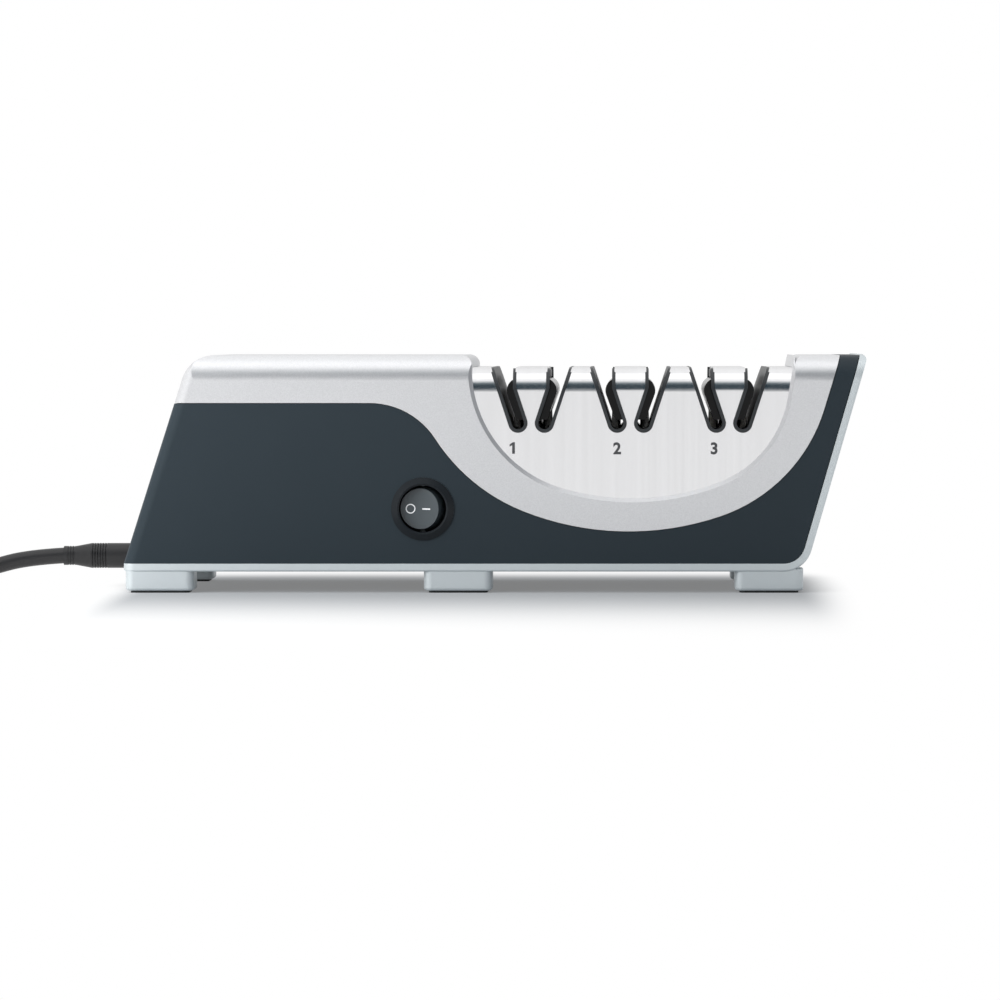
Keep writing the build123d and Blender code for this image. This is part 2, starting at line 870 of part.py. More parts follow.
def make_bobbin():
    """Coil former round the limb."""
    inner = window_half - 0.2
    body = limb_block(fit + bobbin, inner)
    for side in (-1, 1):
        z = axis_z + side * (inner - 0.6)
        flange = limb_block(coil_build + bobbin, 1)
        box = flange.bounding_box()
        body += block(box.min.X, box.max.X, box.min.Y, box.max.Y, z - 0.6, z + 0.6)
    return body - limb_block(fit, window_half)


def make_winding():
    """Coil wound on the former."""
    body = limb_block(coil_build, window_half - 1.6)
    body = fillet(body.edges().filter_by(Axis.Z), 3)
    return body - limb_block(fit + bobbin + 0.05, window_half)


def make_rotor():
    """Squirrel-cage rotor with its end rings."""
    body = rod_x(rotor_dia, core_x0, core_x1)
    body += rod_x(rotor_dia - 3, core_x0 - 3, core_x1 + 3)
    return body - rod_x(motor_dia + 2 * seat, core_x0 - 5, core_x1 + 5)


def make_motor_shaft():
    """Rotor shaft from the fan to the coupling."""
    return rod_x(motor_dia, fan_x - fan_width / 2 - 1, shaft_joint_x)


def make_motor_plate(face_x, side):
    """Bearing plate of the motor, with stand-offs to the core and a screwed foot."""
    x0, x1 = sorted([face_x, face_x + side * motor_plate])
    top = axis_z + motor_bolt_pitch_z / 2 + 4
    edge = motor_bolt_pitch_y / 2
    body = block(x0, x1, -edge - 4, edge - 0.5, seat_z, top)
    foot = sorted([face_x, face_x + side * motor_foot])
    body += block(foot[0], foot[1], -edge - 4, edge - 0.5, seat_z, seat_z + motor_plate)
    for y, z in bolt_points():
        ends = sorted([face_x - side * plate_gap, face_x + side * motor_plate])
        body += rod_x(6.4, ends[0], ends[1], y, z)
        body -= rod_x(motor_bolt_dia + 0.4, ends[0] - 1, ends[1] + 1, y, z)
    middle = face_x + side * motor_bush_shift
    cup = (middle - motor_bush_length / 2, middle + motor_bush_length / 2)
    body += rod_x(motor_bush_dia + 4, cup[0], cup[1])
    body -= rod_x(motor_bush_dia + 2 * seat, cup[0] - 1, cup[1] + 1)
    for x, y in plate_seats(face_x, side):
        body -= rod_z(screw_dia + 0.4, seat_z - 1, seat_z + 4, x, y)
    return body


def plate_seats(face_x, side):
    """Screw places of a motor plate."""
    x = face_x + side * 7.5
    return [(x, -13.0), (x, 8.0)]


def make_bolts():
    """Motor bolts with heads."""
    x1 = plate_right + motor_plate
    x0 = plate_left - motor_plate
    bolts = []
    for y, z in bolt_points():
        bolts.append(rod_x(motor_bolt_dia, x0 - 4, x1 + 0.1, y, z) + rod_x(5.5, x1, x1 + 2, y, z))
    return bolts


def make_nuts():
    """Nuts on the motor bolts."""
    x0 = plate_left - motor_plate
    nuts = []
    for y, z in bolt_points():
        hexagon = extrude(Plane.YZ * RegularPolygon(motor_nut_radius, 6), motor_nut)
        nut = Pos(x0 - motor_nut, y, z) * hexagon
        nuts.append(nut - rod_x(motor_bolt_dia + 2 * seat, x0 - 5, x0 + 1, y, z))
    return nuts


def make_fan():
    """Cooling fan with pitched blades."""
    hub = 8.0
    body = rod_x(2 * hub, fan_x - fan_width / 2, fan_x + fan_width / 2)
    reach = fan_dia / 2 - hub + 1
    for i in range(fan_blades):
        blade = Pos(0, 0, hub - 1 + reach / 2) * Rot(0, 0, 38) * Box(1.2, fan_width * 1.15, reach)
        body += Pos(fan_x, 0, axis_z) * Rot(i * 360 / fan_blades, 0, 0) * blade
    return body - rod_x(motor_dia + 2 * seat, fan_x - 10, fan_x + 10)


# ---- switch ----
pivot_y = front + rocker_pivot
pivot_reach = bezel_bore / 2 + pivot_seat


def make_switch_body():
    """Switch housing with a pocket for the rocker."""
    back = front + switch_body
    body = rod_y(switch_dia, front + fit, back, 0, 0)
    body -= rod_y(bezel_bore, front, pivot_y + rocker_back + 4, 0, 0)
    body -= rod_z(pivot_dia + 2 * run_fit, -pivot_reach, pivot_reach, 0, pivot_y)
    return Pos(switch_x, 0, switch_z) * body


def make_bezel():
    """Raised cone-shaped ring round the rocker, seated on the housing."""
    outline = make_face(Polyline(
        (bezel_bore / 2, front),
        (bezel_dia / 2, front),
        (bezel_dia / 2, front - bezel_edge),
        (bezel_bore / 2 + 0.7, front - bezel_proud),
        (bezel_bore / 2, front - bezel_proud + 0.3),
        close=True,
    ))
    return Pos(switch_x, 0, switch_z) * revolve(outline, Axis.Y)


def make_rocker():
    """Round rocker with a hollowed face, leaning to its off side, with its pivots."""
    outline = make_face(Polyline(
        (0, -rocker_reach),
        (rocker_face_dia / 2, -rocker_reach),
        (rocker_face_dia / 2 + 0.8, -rocker_reach / 2),
        (rocker_waist_dia / 2, 0),
        (rocker_waist_dia / 2 - 0.5, rocker_back),
        (0, rocker_back),
        close=True,
    ))
    body = revolve(outline, Axis.Y)
    r = rocker_face_dia / 2
    hollow = (r * r + rocker_dish * rocker_dish) / (2 * rocker_dish)
    body -= rod_z(2 * hollow, -20, 20, 0, -rocker_reach - hollow + rocker_dish)
    body += rod_z(pivot_dia, -pivot_reach + 0.2, pivot_reach - 0.2, 0, 0)
    return Pos(switch_x, pivot_y, switch_z) * Rot(0, 0, -rocker_lean) * body


def make_terminals():
    """Two blade terminals at the back of the switch."""
    back = front + switch_body
    half_width = terminal_width / 2
    half_sheet = terminal_sheet / 2
    blades = []
    for side in (-1, 1):
        x = switch_x + side * terminal_pitch / 2
        blades.append(block(x - half_width, x + half_width, back, back + terminal_length,
                            switch_z - half_sheet, switch_z + half_sheet))
    return blades


# ---- cord ----
def ring_groove(dia, depth_in, x):
    """Ring-shaped cut round a rod on the cord's axis, one groove wide."""
    return (rod_x(dia + 1, x, x + rib_gap, 0, cord_z)
            - rod_x(dia - 2 * depth_in, x, x + rib_gap, 0, cord_z))


def make_gland():
    """Strain relief: ribbed barrel, cone and flexible tip, with a neck and an inner anchor."""
    wall_x = cord_end_x(cord_z)
    start = wall_x - 0.6
    anchor_x = wall_x + wall + 6
    barrel_x = -half - gland_barrel
    flex_x = barrel_x - gland_cone
    end = -half - gland_length
    outline = [
        (anchor_x, 0),
        (anchor_x, neck_dia / 2),
        (start, neck_dia / 2),
        (start, gland_dia / 2),
        (barrel_x, gland_dia / 2),
        (flex_x, flex_dia / 2),
        (end, flex_dia / 2),
        (end, 0),
    ]
    body = turned_x(outline, 0, cord_z)
    body += block(anchor_x - 3.6, anchor_x, -6, 6, parting_z + fit, cord_z + 6)
    for i in range(gland_ribs):
        body -= ring_groove(gland_dia, 0.7, barrel_x + (i + 0.5) * rib_pitch)
    for i in range(flex_ribs):
        body -= ring_groove(flex_dia, 0.35, flex_x - (i + 1) * rib_pitch)
    return body - rod_x(cord_dia, end - 1, anchor_x + 1, 0, cord_z)


def tube(points, dia, tag):
    """Round tube along straight runs joined by arcs as large as the runs allow."""
    radii = []
    for a, b, c in zip(points, points[1:], points[2:]):
        u = Vector(*b) - Vector(*a)
        v = Vector(*c) - Vector(*b)
        turn = radians(u.get_angle(v))
        radii.append(0.45 * min(u.length, v.length) / tan(turn / 2))
    print(tag, "radii", [round(r, 1) for r in radii])
    path = FilletPolyline(*points, radius=radii)
    section = Plane(origin=path @ 0, z_dir=path % 0) * Circle(dia / 2)
    return sweep(section, path=path)


cx, cy = coil_centre
cord_route = [
    (-192.0, 0.0, 13.5),
    (-208.0, -0.4, 12.6),
    (-224.0, -4.2, 8.4),
    (-238.5, -11.5, 4.4),
    (-251.0, -21.5, 3.5),
    (-261.0, -32.5, 3.5),
]


def make_coil():
    """Outer shape of the stored coil."""
    ring = rod_z(2 * coil_outer, 0, coil_height, cx, cy)
    ring = fillet(ring.edges(), 3)
    hole = rod_z(2 * coil_inner, -1, coil_height + 1, cx, cy)
    return ring - hole


plug_z = coil_height + plug_thickness / 2
plug_x = cx + 5.0
plug_y = cy + 3.0 - tail_radius
tail_rise = [(40, -3.5), (15, -1.0), (-10, 3.0), (-35, 5.2), (-62, 6.6), (-90, 6.85)]


def tail_route():
    """Way of the cord from the top of the coil round to the plug."""
    places = []
    for turn, rise in tail_rise:
        x = plug_x + tail_radius * cos(radians(turn))
        y = plug_y + tail_radius + tail_radius * sin(radians(turn))
        places.append((x, y, coil_height + rise))
    return places


def make_plug():
    """Flat two-pin plug with its own strain relief, lying on the coil."""
    half_waist = plug_waist / 2
    half_width = plug_width / 2
    nose = plug_relief + plug_length
    outline = [
        (-plug_relief, -half_waist),
        (-plug_relief - 12, -half_width + 3),
        (-nose + 14, -half_width),
        (-nose, -half_width + 1),
        (-nose, half_width - 1),
        (-nose + 14, half_width),
        (-plug_relief - 12, half_width - 3),
        (-plug_relief, half_waist),
    ]
    face = make_face(Polyline(*outline, close=True))
    body = Pos(0, 0, -plug_thickness / 2) * extrude(face, plug_thickness)
    body = fillet(body.edges().filter_by(Axis.Z), 2.5)
    body = fillet(body.edges().group_by(Axis.Z)[-1] + body.edges().group_by(Axis.Z)[0], 2)
    root = -plug_relief - 3
    cone = [(0, 0), (0, relief_tip / 2), (-plug_relief, relief_root / 2), (root, relief_root / 2), (root, 0)]
    sleeve = turned_x(cone, 0, 0)
    for i in range(relief_ribs):
        x = -2.5 - i * 2.8
        sleeve -= rod_x(20, x - 1.1, x, 0, 0) - rod_x(relief_tip - 0.6, x - 1.1, x, 0, 0)
    return Pos(plug_x, plug_y, plug_z) * (body + sleeve)


def make_blades():
    """Two round pins of the plug."""
    x0 = plug_x - plug_relief - plug_length
    pins = []
    for side in (-1, 1):
        pin = rod_x(pin_dia, x0 - pin_length, x0, plug_y + side * pin_pitch / 2, plug_z)
        pins.append(fillet(pin.edges().group_by(Axis.X)[0], 1.2))
    return pins


def make_inner_cord():
    """Cord inside the base, from the strain relief to the clamp."""
    wall_x = cord_end_x(cord_z)
    return rod_x(cord_dia - 2 * seat, wall_x + wall + 7, inner_cord_end, 0, cord_z)


def crimp(x):
    """Receptacle pushed on a switch terminal."""
    back = front + switch_body
    sleeve = block(x - 3.2, x + 3.2, back + 0.8, back + 8.6, switch_z - 1.4, switch_z + 1.4)
    return sleeve - block(x - 2.5, x + 2.5, back, back + 7.1, switch_z - 0.5, switch_z + 0.5)


def make_wires():
    """Three leads: cord to switch, switch to coil, cord to coil."""
    back = front + switch_body + 8.5
    z = parting_z + 4.5
    start = inner_cord_end + 0.2
    live = [
        (start, -1.8, cord_z + 1.3),
        (inner_cord_end + 4, -12, z),
        (inner_cord_end + 7.5, -24, z),
        (core_x - 21, -31, z),
        (core_x + 17, -30, z),
        (switch_x - 13, -18, 25),
        (switch_x - 5, back + 8, switch_z - 3),
        (switch_x - 5, back, switch_z),
    ]
    switched = [
        (switch_x + 5, back, switch_z),
        (switch_x + 5, back + 12, switch_z - 4),
        (switch_x, 8, 25),
        (core_x + 36, 30, 22),
        (core_x + 23, core_back + 0.5, 28),
        (core_x + 21, core_back + 1, axis_z - window_half - 0.3),
    ]
    neutral = [
        (start, 1.8, cord_z + 1.3),
        (inner_cord_end + 4, 12, z),
        (inner_cord_end + 8, 23, z),
        (core_x - 26, 29, 20),
        (core_x - 20, core_back, 30),
        (core_x - 20, core_back + 1, axis_z - window_half - 0.3),
    ]
    wires = [
        tube(live, wire_dia, "live") + crimp(switch_x - 5),
        tube(switched, wire_dia, "switched") + crimp(switch_x + 5),
        tube(neutral, wire_dia, "neutral"),
    ]
    return wires


clamp_z = cord_z + cord_dia / 2


def make_clamp():
    """Bar that clamps the cord to the base."""
    bar = block(clamp_x - 4, clamp_x + 4, -14, 14, clamp_z, clamp_z + clamp_bar)
    for side in (-1, 1):
        y = side * clamp_pitch / 2
        bar += rod_z(7, seat_z, clamp_z + 0.5, clamp_x, y)
        bar -= rod_z(3.4, parting_z, clamp_z + 5, clamp_x, y)
    return bar


# ---- screws ----
seat_z = parting_z + 2.5
cover_screw_x = [42.0 - half, stage_mid_x - 102.3]
shelf_z = cover_edge_z - 5.7


def seat_points():
    """Every screwed seat on the floor."""
    points = []
    for x in (inner_bracket_x, outer_bracket_x):
        points += bracket_seats(x)
    points += plate_seats(plate_right, 1)
    points += plate_seats(plate_left, -1)
    points += [(clamp_x, side * clamp_pitch / 2) for side in (-1, 1)]
    return points


def screw_up(x, y, z, reach):
    """Screw driven upwards, head below z."""
    return rod_z(screw_head_dia, z - screw_head, z, x, y) + rod_z(screw_dia - 0.5, z, z + reach, x, y)


def screw_down(x, y, z, reach):
    """Screw driven downwards, head above z."""
    return rod_z(screw_head_dia - 1, z, z + 2, x, y) + rod_z(screw_dia - 0.7, z - reach, z, x, y)


def make_base_screws():
    """Screws from the base into the housing posts."""
    return [screw_up(x, y, sleeve_top_z - 5, base_screw) for x, y in screw_points()]


def make_cover_screws():
    """Screws from the housing shelves into the cover."""
    return [screw_up(x, y, shelf_z - 3, cover_screw) for x, y in cover_points()]


def make_bracket_screws():
    """Screws of the bearing brackets."""
    points = bracket_seats(inner_bracket_x) + bracket_seats(outer_bracket_x)
    return [screw_down(x, y, seat_z + 3, bracket_screw) for x, y in points]


def make_motor_feet_screws():
    """Screws of the motor plates' feet."""
    points = plate_seats(plate_right, 1) + plate_seats(plate_left, -1)
    return [screw_down(x, y, seat_z + motor_plate, motor_screw) for x, y in points]


def make_clamp_screws():
    """Screws of the cord clamp."""
    y = clamp_pitch / 2
    return [screw_down(clamp_x, side * y, clamp_z + clamp_bar, clamp_screw) for side in (-1, 1)]


# ---- build ----
def build():
    """Write every node."""
    save("body_shell", make_body())
    save("top_cover", make_cover())
    save("base_pan", make_base())
    save("foot_pads", Compound(children=make_pads()))
    save("cleanout_cover", make_hatch())
    save("filings_magnet", make_magnet())
    save("steel_cover", make_plate())
    for i, x in enumerate(stage_x, 1):
        save("knife_guide_%d" % i, make_liner(x))
        save("guide_spring_%d" % i, make_guide_spring(x))
        save("grinding_disc_%d_left" % i, make_disc(x, -1))
        save("grinding_disc_%d_right" % i, make_disc(x, 1))
        save("disc_spring_%d" % i, make_disc_spring(x))
    save("drive_shaft", make_drive_shaft())
    save("shaft_clips", Compound(children=make_clips()))
    save("inner_bracket", make_bracket(inner_bracket_x))
    save("outer_bracket", make_bracket(outer_bracket_x))
    save("inner_bush", make_bush(inner_bracket_x, drive_dia, bush_dia, bush_length))
    save("outer_bush", make_bush(outer_bracket_x, drive_dia, bush_dia, bush_length))
    save("shaft_coupling", make_coupling())
    save("stator_core", make_core())
    save("shading_bars", Compound(children=make_shading_rings()))
    save("coil_bobbin", make_bobbin())
    save("coil_winding", make_winding())
    save("rotor", make_rotor())
    save("motor_shaft", make_motor_shaft())
    save("motor_plate_right", make_motor_plate(plate_right, 1))
    save("motor_plate_left", make_motor_plate(plate_left, -1))
    for name, x in (("right", plate_right + motor_bush_shift), ("left", plate_left - motor_bush_shift)):
        save("motor_bush_" + name, make_bush(x, motor_dia, motor_bush_dia, motor_bush_length))
    save("motor_bolts", Compound(children=make_bolts()))
    save("motor_nuts", Compound(children=make_nuts()))
    save("cooling_fan", make_fan())
    save("switch_body", make_switch_body())
    save("switch_bezel", make_bezel())
    save("rocker", make_rocker())
    save("switch_terminals", Compound(children=make_terminals()))
    save("strain_relief", make_gland())
    save("cord_lead", tube(cord_route, cord_dia, "lead"))
    save("cord_coil", make_coil())
    save("cord_tail", tube(tail_route(), cord_dia, "tail"))
    save("plug_body", make_plug())
    save("plug_blades", Compound(children=make_blades()))
    save("inner_cord", make_inner_cord())
    save("lead_wires", Compound(children=make_wires()))
    save("cord_clamp", make_clamp())
    save("base_screws", Compound(children=make_base_screws()))
    save("cover_screws", Compound(children=make_cover_screws()))
    save("bracket_screws", Compound(children=make_bracket_screws()))
    save("motor_foot_screws", Compound(children=make_motor_feet_screws()))
    save("clamp_screws", Compound(children=make_clamp_screws()))


os.makedirs("parts", exist_ok=True)
build()
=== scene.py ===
"""Finishes, markings, mains cord, stage and camera of an electric knife sharpener.

Everything is in metres. +X runs from the cord end to the end wall, the front faces -Y.
"""

import math

import bpy
from bpy.props import FloatProperty, FloatVectorProperty, IntProperty, PointerProperty
from bpy.types import Operator, Panel, PropertyGroup
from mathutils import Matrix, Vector
from mathutils.bvhtree import BVHTree


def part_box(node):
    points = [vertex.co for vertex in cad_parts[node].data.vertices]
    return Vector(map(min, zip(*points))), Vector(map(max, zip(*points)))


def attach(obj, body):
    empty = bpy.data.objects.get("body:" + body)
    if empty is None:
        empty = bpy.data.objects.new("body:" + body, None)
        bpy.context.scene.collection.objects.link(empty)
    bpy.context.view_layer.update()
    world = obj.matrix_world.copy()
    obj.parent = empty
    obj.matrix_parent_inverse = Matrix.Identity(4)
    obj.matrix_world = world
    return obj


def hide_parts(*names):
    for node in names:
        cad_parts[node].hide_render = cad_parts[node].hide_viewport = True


bl_info = {
    "name": "Knife Sharpener",
    "version": (1, 0, 0),
    "blender": (4, 5, 0),
    "location": "View3D > Sidebar > Sharpener",
    "description": "Finishes, markings, cord and stage of an electric knife sharpener",
    "category": "Object",
}

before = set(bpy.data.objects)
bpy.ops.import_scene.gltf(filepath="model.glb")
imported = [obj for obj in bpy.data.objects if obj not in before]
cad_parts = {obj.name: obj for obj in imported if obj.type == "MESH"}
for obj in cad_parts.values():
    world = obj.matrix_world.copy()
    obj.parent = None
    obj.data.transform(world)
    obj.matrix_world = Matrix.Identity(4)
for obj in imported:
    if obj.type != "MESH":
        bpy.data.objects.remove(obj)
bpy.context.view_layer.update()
steel_low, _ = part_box("steel_cover")
rocker_low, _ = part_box("rocker")
plug_low, plug_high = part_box("plug_body")
base_low, base_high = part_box("base_pan")


# ---- settings ----
def colour(name, description, default):
    """A colour setting."""
    return FloatVectorProperty(
        name=name, description=description, default=default, subtype="COLOR", min=0, max=1
    )


def share(name, description, default):
    """A setting from 0 to 1."""
    return FloatProperty(
        name=name, description=description, default=default, min=0, max=1, subtype="FACTOR"
    )


def distance(name, description, default):
    """A length setting in metres."""
    return FloatProperty(
        name=name, description=description, default=default, unit="LENGTH", precision=4
    )


class HousingSettings(PropertyGroup):
    """Colours and sheen of the housing."""

    shell: colour("Shell", "Dark moulded body shell", (0.024, 0.034, 0.042))
    shell_gloss: share("Shell roughness", "Roughness of the body shell", 0.46)
    paint: colour("Paint", "Silver paint of the top cover", (0.74, 0.745, 0.76))
    paint_gloss: share("Paint roughness", "Roughness of the silver paint", 0.36)
    base: colour("Base", "Silver plastic of the base and end wall", (0.63, 0.68, 0.70))
    base_gloss: share("Base roughness", "Roughness of the base", 0.42)
    pads: colour("Pads", "Rubber of the foot pads", (0.035, 0.036, 0.038))


class StageSettings(PropertyGroup):
    """Colours of the sharpening stages and the switch."""

    steel: colour("Steel", "Brushed steel cover", (0.80, 0.80, 0.81))
    steel_gloss: share("Steel roughness", "Roughness of the brushed steel", 0.16)
    lip: colour("Lip", "Dark grey lips of the knife slots", (0.024, 0.027, 0.030))
    spring: colour("Springs", "Black knife springs", (0.005, 0.006, 0.007))
    switch: colour("Switch", "Black switch plastic", (0.006, 0.009, 0.012))
    rocker: colour("Rocker", "Dark grey rocker plastic", (0.055, 0.068, 0.076))
    ink: colour("Ink", "Print on the steel cover", (0.060, 0.062, 0.066))
    mark: colour("Marks", "Print on the rocker", (0.86, 0.87, 0.88))


class MarkSettings(PropertyGroup):
    """Sizes and places of the printed marks."""

    numeral_height: distance("Numeral height", "Height of the stage numerals", 0.0050)
    numeral_bold: distance("Numeral weight", "Thickening of the numeral strokes", 0.00024)
    numeral_z: distance("Numeral level", "Height of the numerals' foot", 0.0598)
    ring_radius: distance("Ring radius", "Middle radius of the off ring", 0.00187)
    ring_stroke: distance("Ring stroke", "Line thickness of the off ring", 0.00048)
    bar_length: distance("Bar length", "Length of the on bar", 0.0034)
    bar_stroke: distance("Bar stroke", "Line thickness of the on bar", 0.00062)


class CordSettings(PropertyGroup):
    """Sizes and colour of the mains cord."""

    diameter: distance("Diameter", "Outer diameter of the cord", 0.007)
    length: distance("Length", "Real length of the cord", 1.583)
    turn_points: IntProperty(
        name="Points per turn", description="Control points in each turn", default=12, min=12
    )
    jacket: colour("Jacket", "Cord jacket", (0.014, 0.014, 0.015))


class StudioSettings(PropertyGroup):
    """Light levels and camera."""

    sky: FloatProperty(name="Sky", description="Strength of the pale surroundings", default=1.0)
    top_power: FloatProperty(
        name="Overhead power", description="Overhead softbox", default=0.8, unit="POWER"
    )
    side_power: FloatProperty(
        name="Side power", description="Softbox on the left", default=3.0, unit="POWER"
    )
    lens: FloatProperty(
        name="Lens", description="Focal length in mm", default=152.4, unit="CAMERA"
    )


GROUPS = {
    "sharpener_housing": HousingSettings,
    "sharpener_stages": StageSettings,
    "sharpener_marks": MarkSettings,
    "sharpener_cord": CordSettings,
    "sharpener_studio": StudioSettings,
}


# ---- shader maths ----
class Value:
    """A number that varies over a surface; arithmetic on it adds Math nodes."""

    def __init__(self, finish, socket):
        self.finish = finish
        self.socket = socket

    def maths(self, operation, *values):
        """The result of one Math node."""
        settings = {"operation": operation}
        return self.finish.add("ShaderNodeMath", settings, dict(enumerate(values)))[0]

    def __add__(self, other):
        return self.maths("ADD", self, other)

    def __radd__(self, other):
        return self.maths("ADD", other, self)

    def __sub__(self, other):
        return self.maths("SUBTRACT", self, other)

    def __rsub__(self, other):
        return self.maths("SUBTRACT", other, self)

    def __mul__(self, other):
        return self.maths("MULTIPLY", self, other)

    def __rmul__(self, other):
        return self.maths("MULTIPLY", other, self)

    def __truediv__(self, other):
        return self.maths("DIVIDE", self, other)

    def __rtruediv__(self, other):
        return self.maths("DIVIDE", other, self)

    def __abs__(self):
        return self.maths("ABSOLUTE", self)

    def at_least(self, other):
        """The greater of the value and other."""
        return self.maths("MAXIMUM", self, other)

    def held(self):
        """The value kept between 0 and 1."""
        made = self + 0.0
        made.socket.node.use_clamp = True
        return made


class Outputs:
    """The outputs of one node, by name or place."""

    def __init__(self, finish, node):
        self.finish = finish
        self.node = node

    def __getitem__(self, key):
        return Value(self.finish, self.node.outputs[key])


class Finish:
    """The node tree of one material or world."""

    def __init__(self, owner, output):
        owner.use_nodes = True
        self.tree = owner.node_tree
        self.tree.nodes.clear()
        self.output = self.tree.nodes.new(output)
        self.place = None

    def add(self, kind, settings=None, inputs=None):
        """Add a node, set what it is first, then feed its sockets."""
        node = self.tree.nodes.new(kind)
        for key, setting in (settings or {}).items():
            if key == "stops":
                self.stops(node.color_ramp, setting)
            else:
                setattr(node, key, setting)
        for key, value in (inputs or {}).items():
            self.feed(node.inputs[key], value)
        return Outputs(self, node)

    def feed(self, socket, value):
        """Link a value to a socket, or set the socket's own value."""
        if isinstance(value, Value):
            self.tree.links.new(value.socket, socket)
            return
        if socket.type == "RGBA" and len(value) == 3:
            value = (*value, 1.0)
        socket.default_value = value

    def stops(self, ramp, stops):
        """Set a ramp's stops from pairs of place and colour."""
        while len(ramp.elements) < len(stops):
            ramp.elements.new(1.0)
        for element, (place, shade) in zip(ramp.elements, stops):
            element.position = place
            element.color = (*shade, 1.0)

    def where(self, stretch=(1, 1, 1)):
        """Place on the piece in metres, stretched along each axis."""
        if self.place is None:
            self.place = self.add("ShaderNodeTexCoord")["Object"]
        return self.add(
            "ShaderNodeVectorMath", {"operation": "MULTIPLY"}, {0: self.place, 1: stretch}
        )[0]

    def noise(self, size, stretch=(1, 1, 1), detail=2.0, roughness=0.5):
        """Noise from 0 to 1 whose features are about that size in metres."""
        made = self.add(
            "ShaderNodeTexNoise",
            {"noise_dimensions": "3D"},
            {
                "Vector": self.where(stretch),
                "Scale": 1 / size,
                "Detail": detail,
                "Roughness": roughness,
            },
        )
        return made[0]

    def cells(self, size):
        """Cell texture of that size in metres."""
        inputs = {"Vector": self.where(), "Scale": 1 / size}
        return self.add("ShaderNodeTexVoronoi", {"feature": "F1"}, inputs)

    def mix(self, factor, first, second):
        """Mix two colours."""
        inputs = {0: factor, 6: first, 7: second}
        return self.add("ShaderNodeMix", {"data_type": "RGBA"}, inputs)[2]

    def split(self, vector):
        """The three parts of a vector."""
        return self.add("ShaderNodeSeparateXYZ", None, {0: vector})

    def shade(self, base, amount):
        """The colour made darker or lighter by amount, a value round 0."""
        level = 1 + amount
        scale = self.add("ShaderNodeCombineXYZ", None, {0: level, 1: level, 2: level})[0]
        return self.add(
            "ShaderNodeVectorMath", {"operation": "MULTIPLY"}, {0: scale, 1: tuple(base)[:3]}
        )[0]

    def bump(self, height, depth):
        """Normal bumped by height, a value from 0 to 1, to that depth in metres."""
        inputs = {"Height": height, "Distance": depth, "Strength": 1.0}
        return self.add("ShaderNodeBump", None, inputs)[0]

    def surface(self, **sockets):
        """Close the tree with one principled shader."""
        self.close(self.principled(**sockets))

    def principled(self, **sockets):
        """A principled shader; underscores in the names stand for spaces."""
        inputs = {key.replace("_", " "): value for key, value in sockets.items()}
        return self.add("ShaderNodeBsdfPrincipled", None, inputs)[0]

    def close(self, shader):
        """Link a shader to the output."""
        self.feed(self.output.inputs["Surface"], shader)


def material(name):
    """A new material and its tree."""
    made = bpy.data.materials.new(name)
    return made, Finish(made, "ShaderNodeOutputMaterial")


# ---- finishes ----
def moulded(
    name, base, roughness, grain=0.00045, depth=0.00002, level=0.5, mottle=0.05, metallic=0.0
):
    """Moulded plastic or rubber: fine spark grain, faint cloudiness."""
    made, f = material(name)
    fine = f.noise(size=grain, detail=3.0)
    cloud = f.noise(size=0.03, detail=1.0)
    f.surface(
        Base_Color=f.shade(base, (cloud - 0.5) * mottle + (fine - 0.5) * mottle),
        Roughness=roughness + (fine - 0.5) * 0.12,
        Normal=f.bump(fine, depth),
        Specular_IOR_Level=level,
        Metallic=metallic,
    )
    return made


def flake_paint(name, base, roughness):
    """Silver paint: metal flakes under a thin clear layer."""
    made, f = material(name)
    flakes = f.cells(size=0.00024)
    tone = f.add("ShaderNodeSeparateColor", None, {0: flakes["Color"]})
    fine = f.noise(size=0.0011, detail=2.0)
    f.surface(
        Base_Color=f.shade(base, (tone[0] - 0.5) * 0.12 + (fine - 0.5) * 0.04),
        Metallic=0.75,
        Roughness=roughness + (tone[1] - 0.5) * 0.12,
        Normal=f.bump(tone[2] * 0.5 + fine, depth=0.000008),
        Coat_Weight=0.25,
        Coat_Roughness=0.25,
    )
    return made


def brushed(name, base, roughness, stretch, metallic=0.97):
    """Metal brushed along the axes where stretch, in lines a metre, is small."""
    made, f = material(name)
    lines = f.noise(size=1.0, stretch=stretch, detail=5.0, roughness=0.65)
    wide = tuple(each * 0.14 for each in stretch)
    broad = f.noise(size=1.0, stretch=wide, detail=2.0)
    f.surface(
        Base_Color=f.shade(base, (lines - 0.5) * 0.10 + (broad - 0.5) * 0.10),
        Metallic=metallic,
        Roughness=roughness + (lines - 0.5) * 0.22,
        Normal=f.bump(lines, depth=0.000012),
    )
    return made


def machined(name, base, roughness, metallic=1.0):
    """Turned, cast or plated metal with small stains."""
    made, f = material(name)
    fine = f.noise(size=0.0006, detail=4.0)
    stain = f.noise(size=0.008, detail=3.0)
    f.surface(
        Base_Color=f.shade(base, (stain - 0.5) * 0.16 + (fine - 0.5) * 0.08),
        Metallic=metallic,
        Roughness=roughness + (fine - 0.5) * 0.2,
        Normal=f.bump(fine, depth=0.000008),
    )
    return made


def grit(name, base, size, sparkle):
    """Bonded abrasive: hard grains of that size, more or less metallic."""
    made, f = material(name)
    grains = f.cells(size)
    tone = f.add("ShaderNodeSeparateColor", None, {0: grains["Color"]})
    f.surface(
        Base_Color=f.shade(base, (tone[0] - 0.5) * 0.5),
        Metallic=sparkle,
        Roughness=0.35 + tone[1] * 0.4,
        Normal=f.bump(1 - grains["Distance"], depth=size * 0.5),
    )
    return made


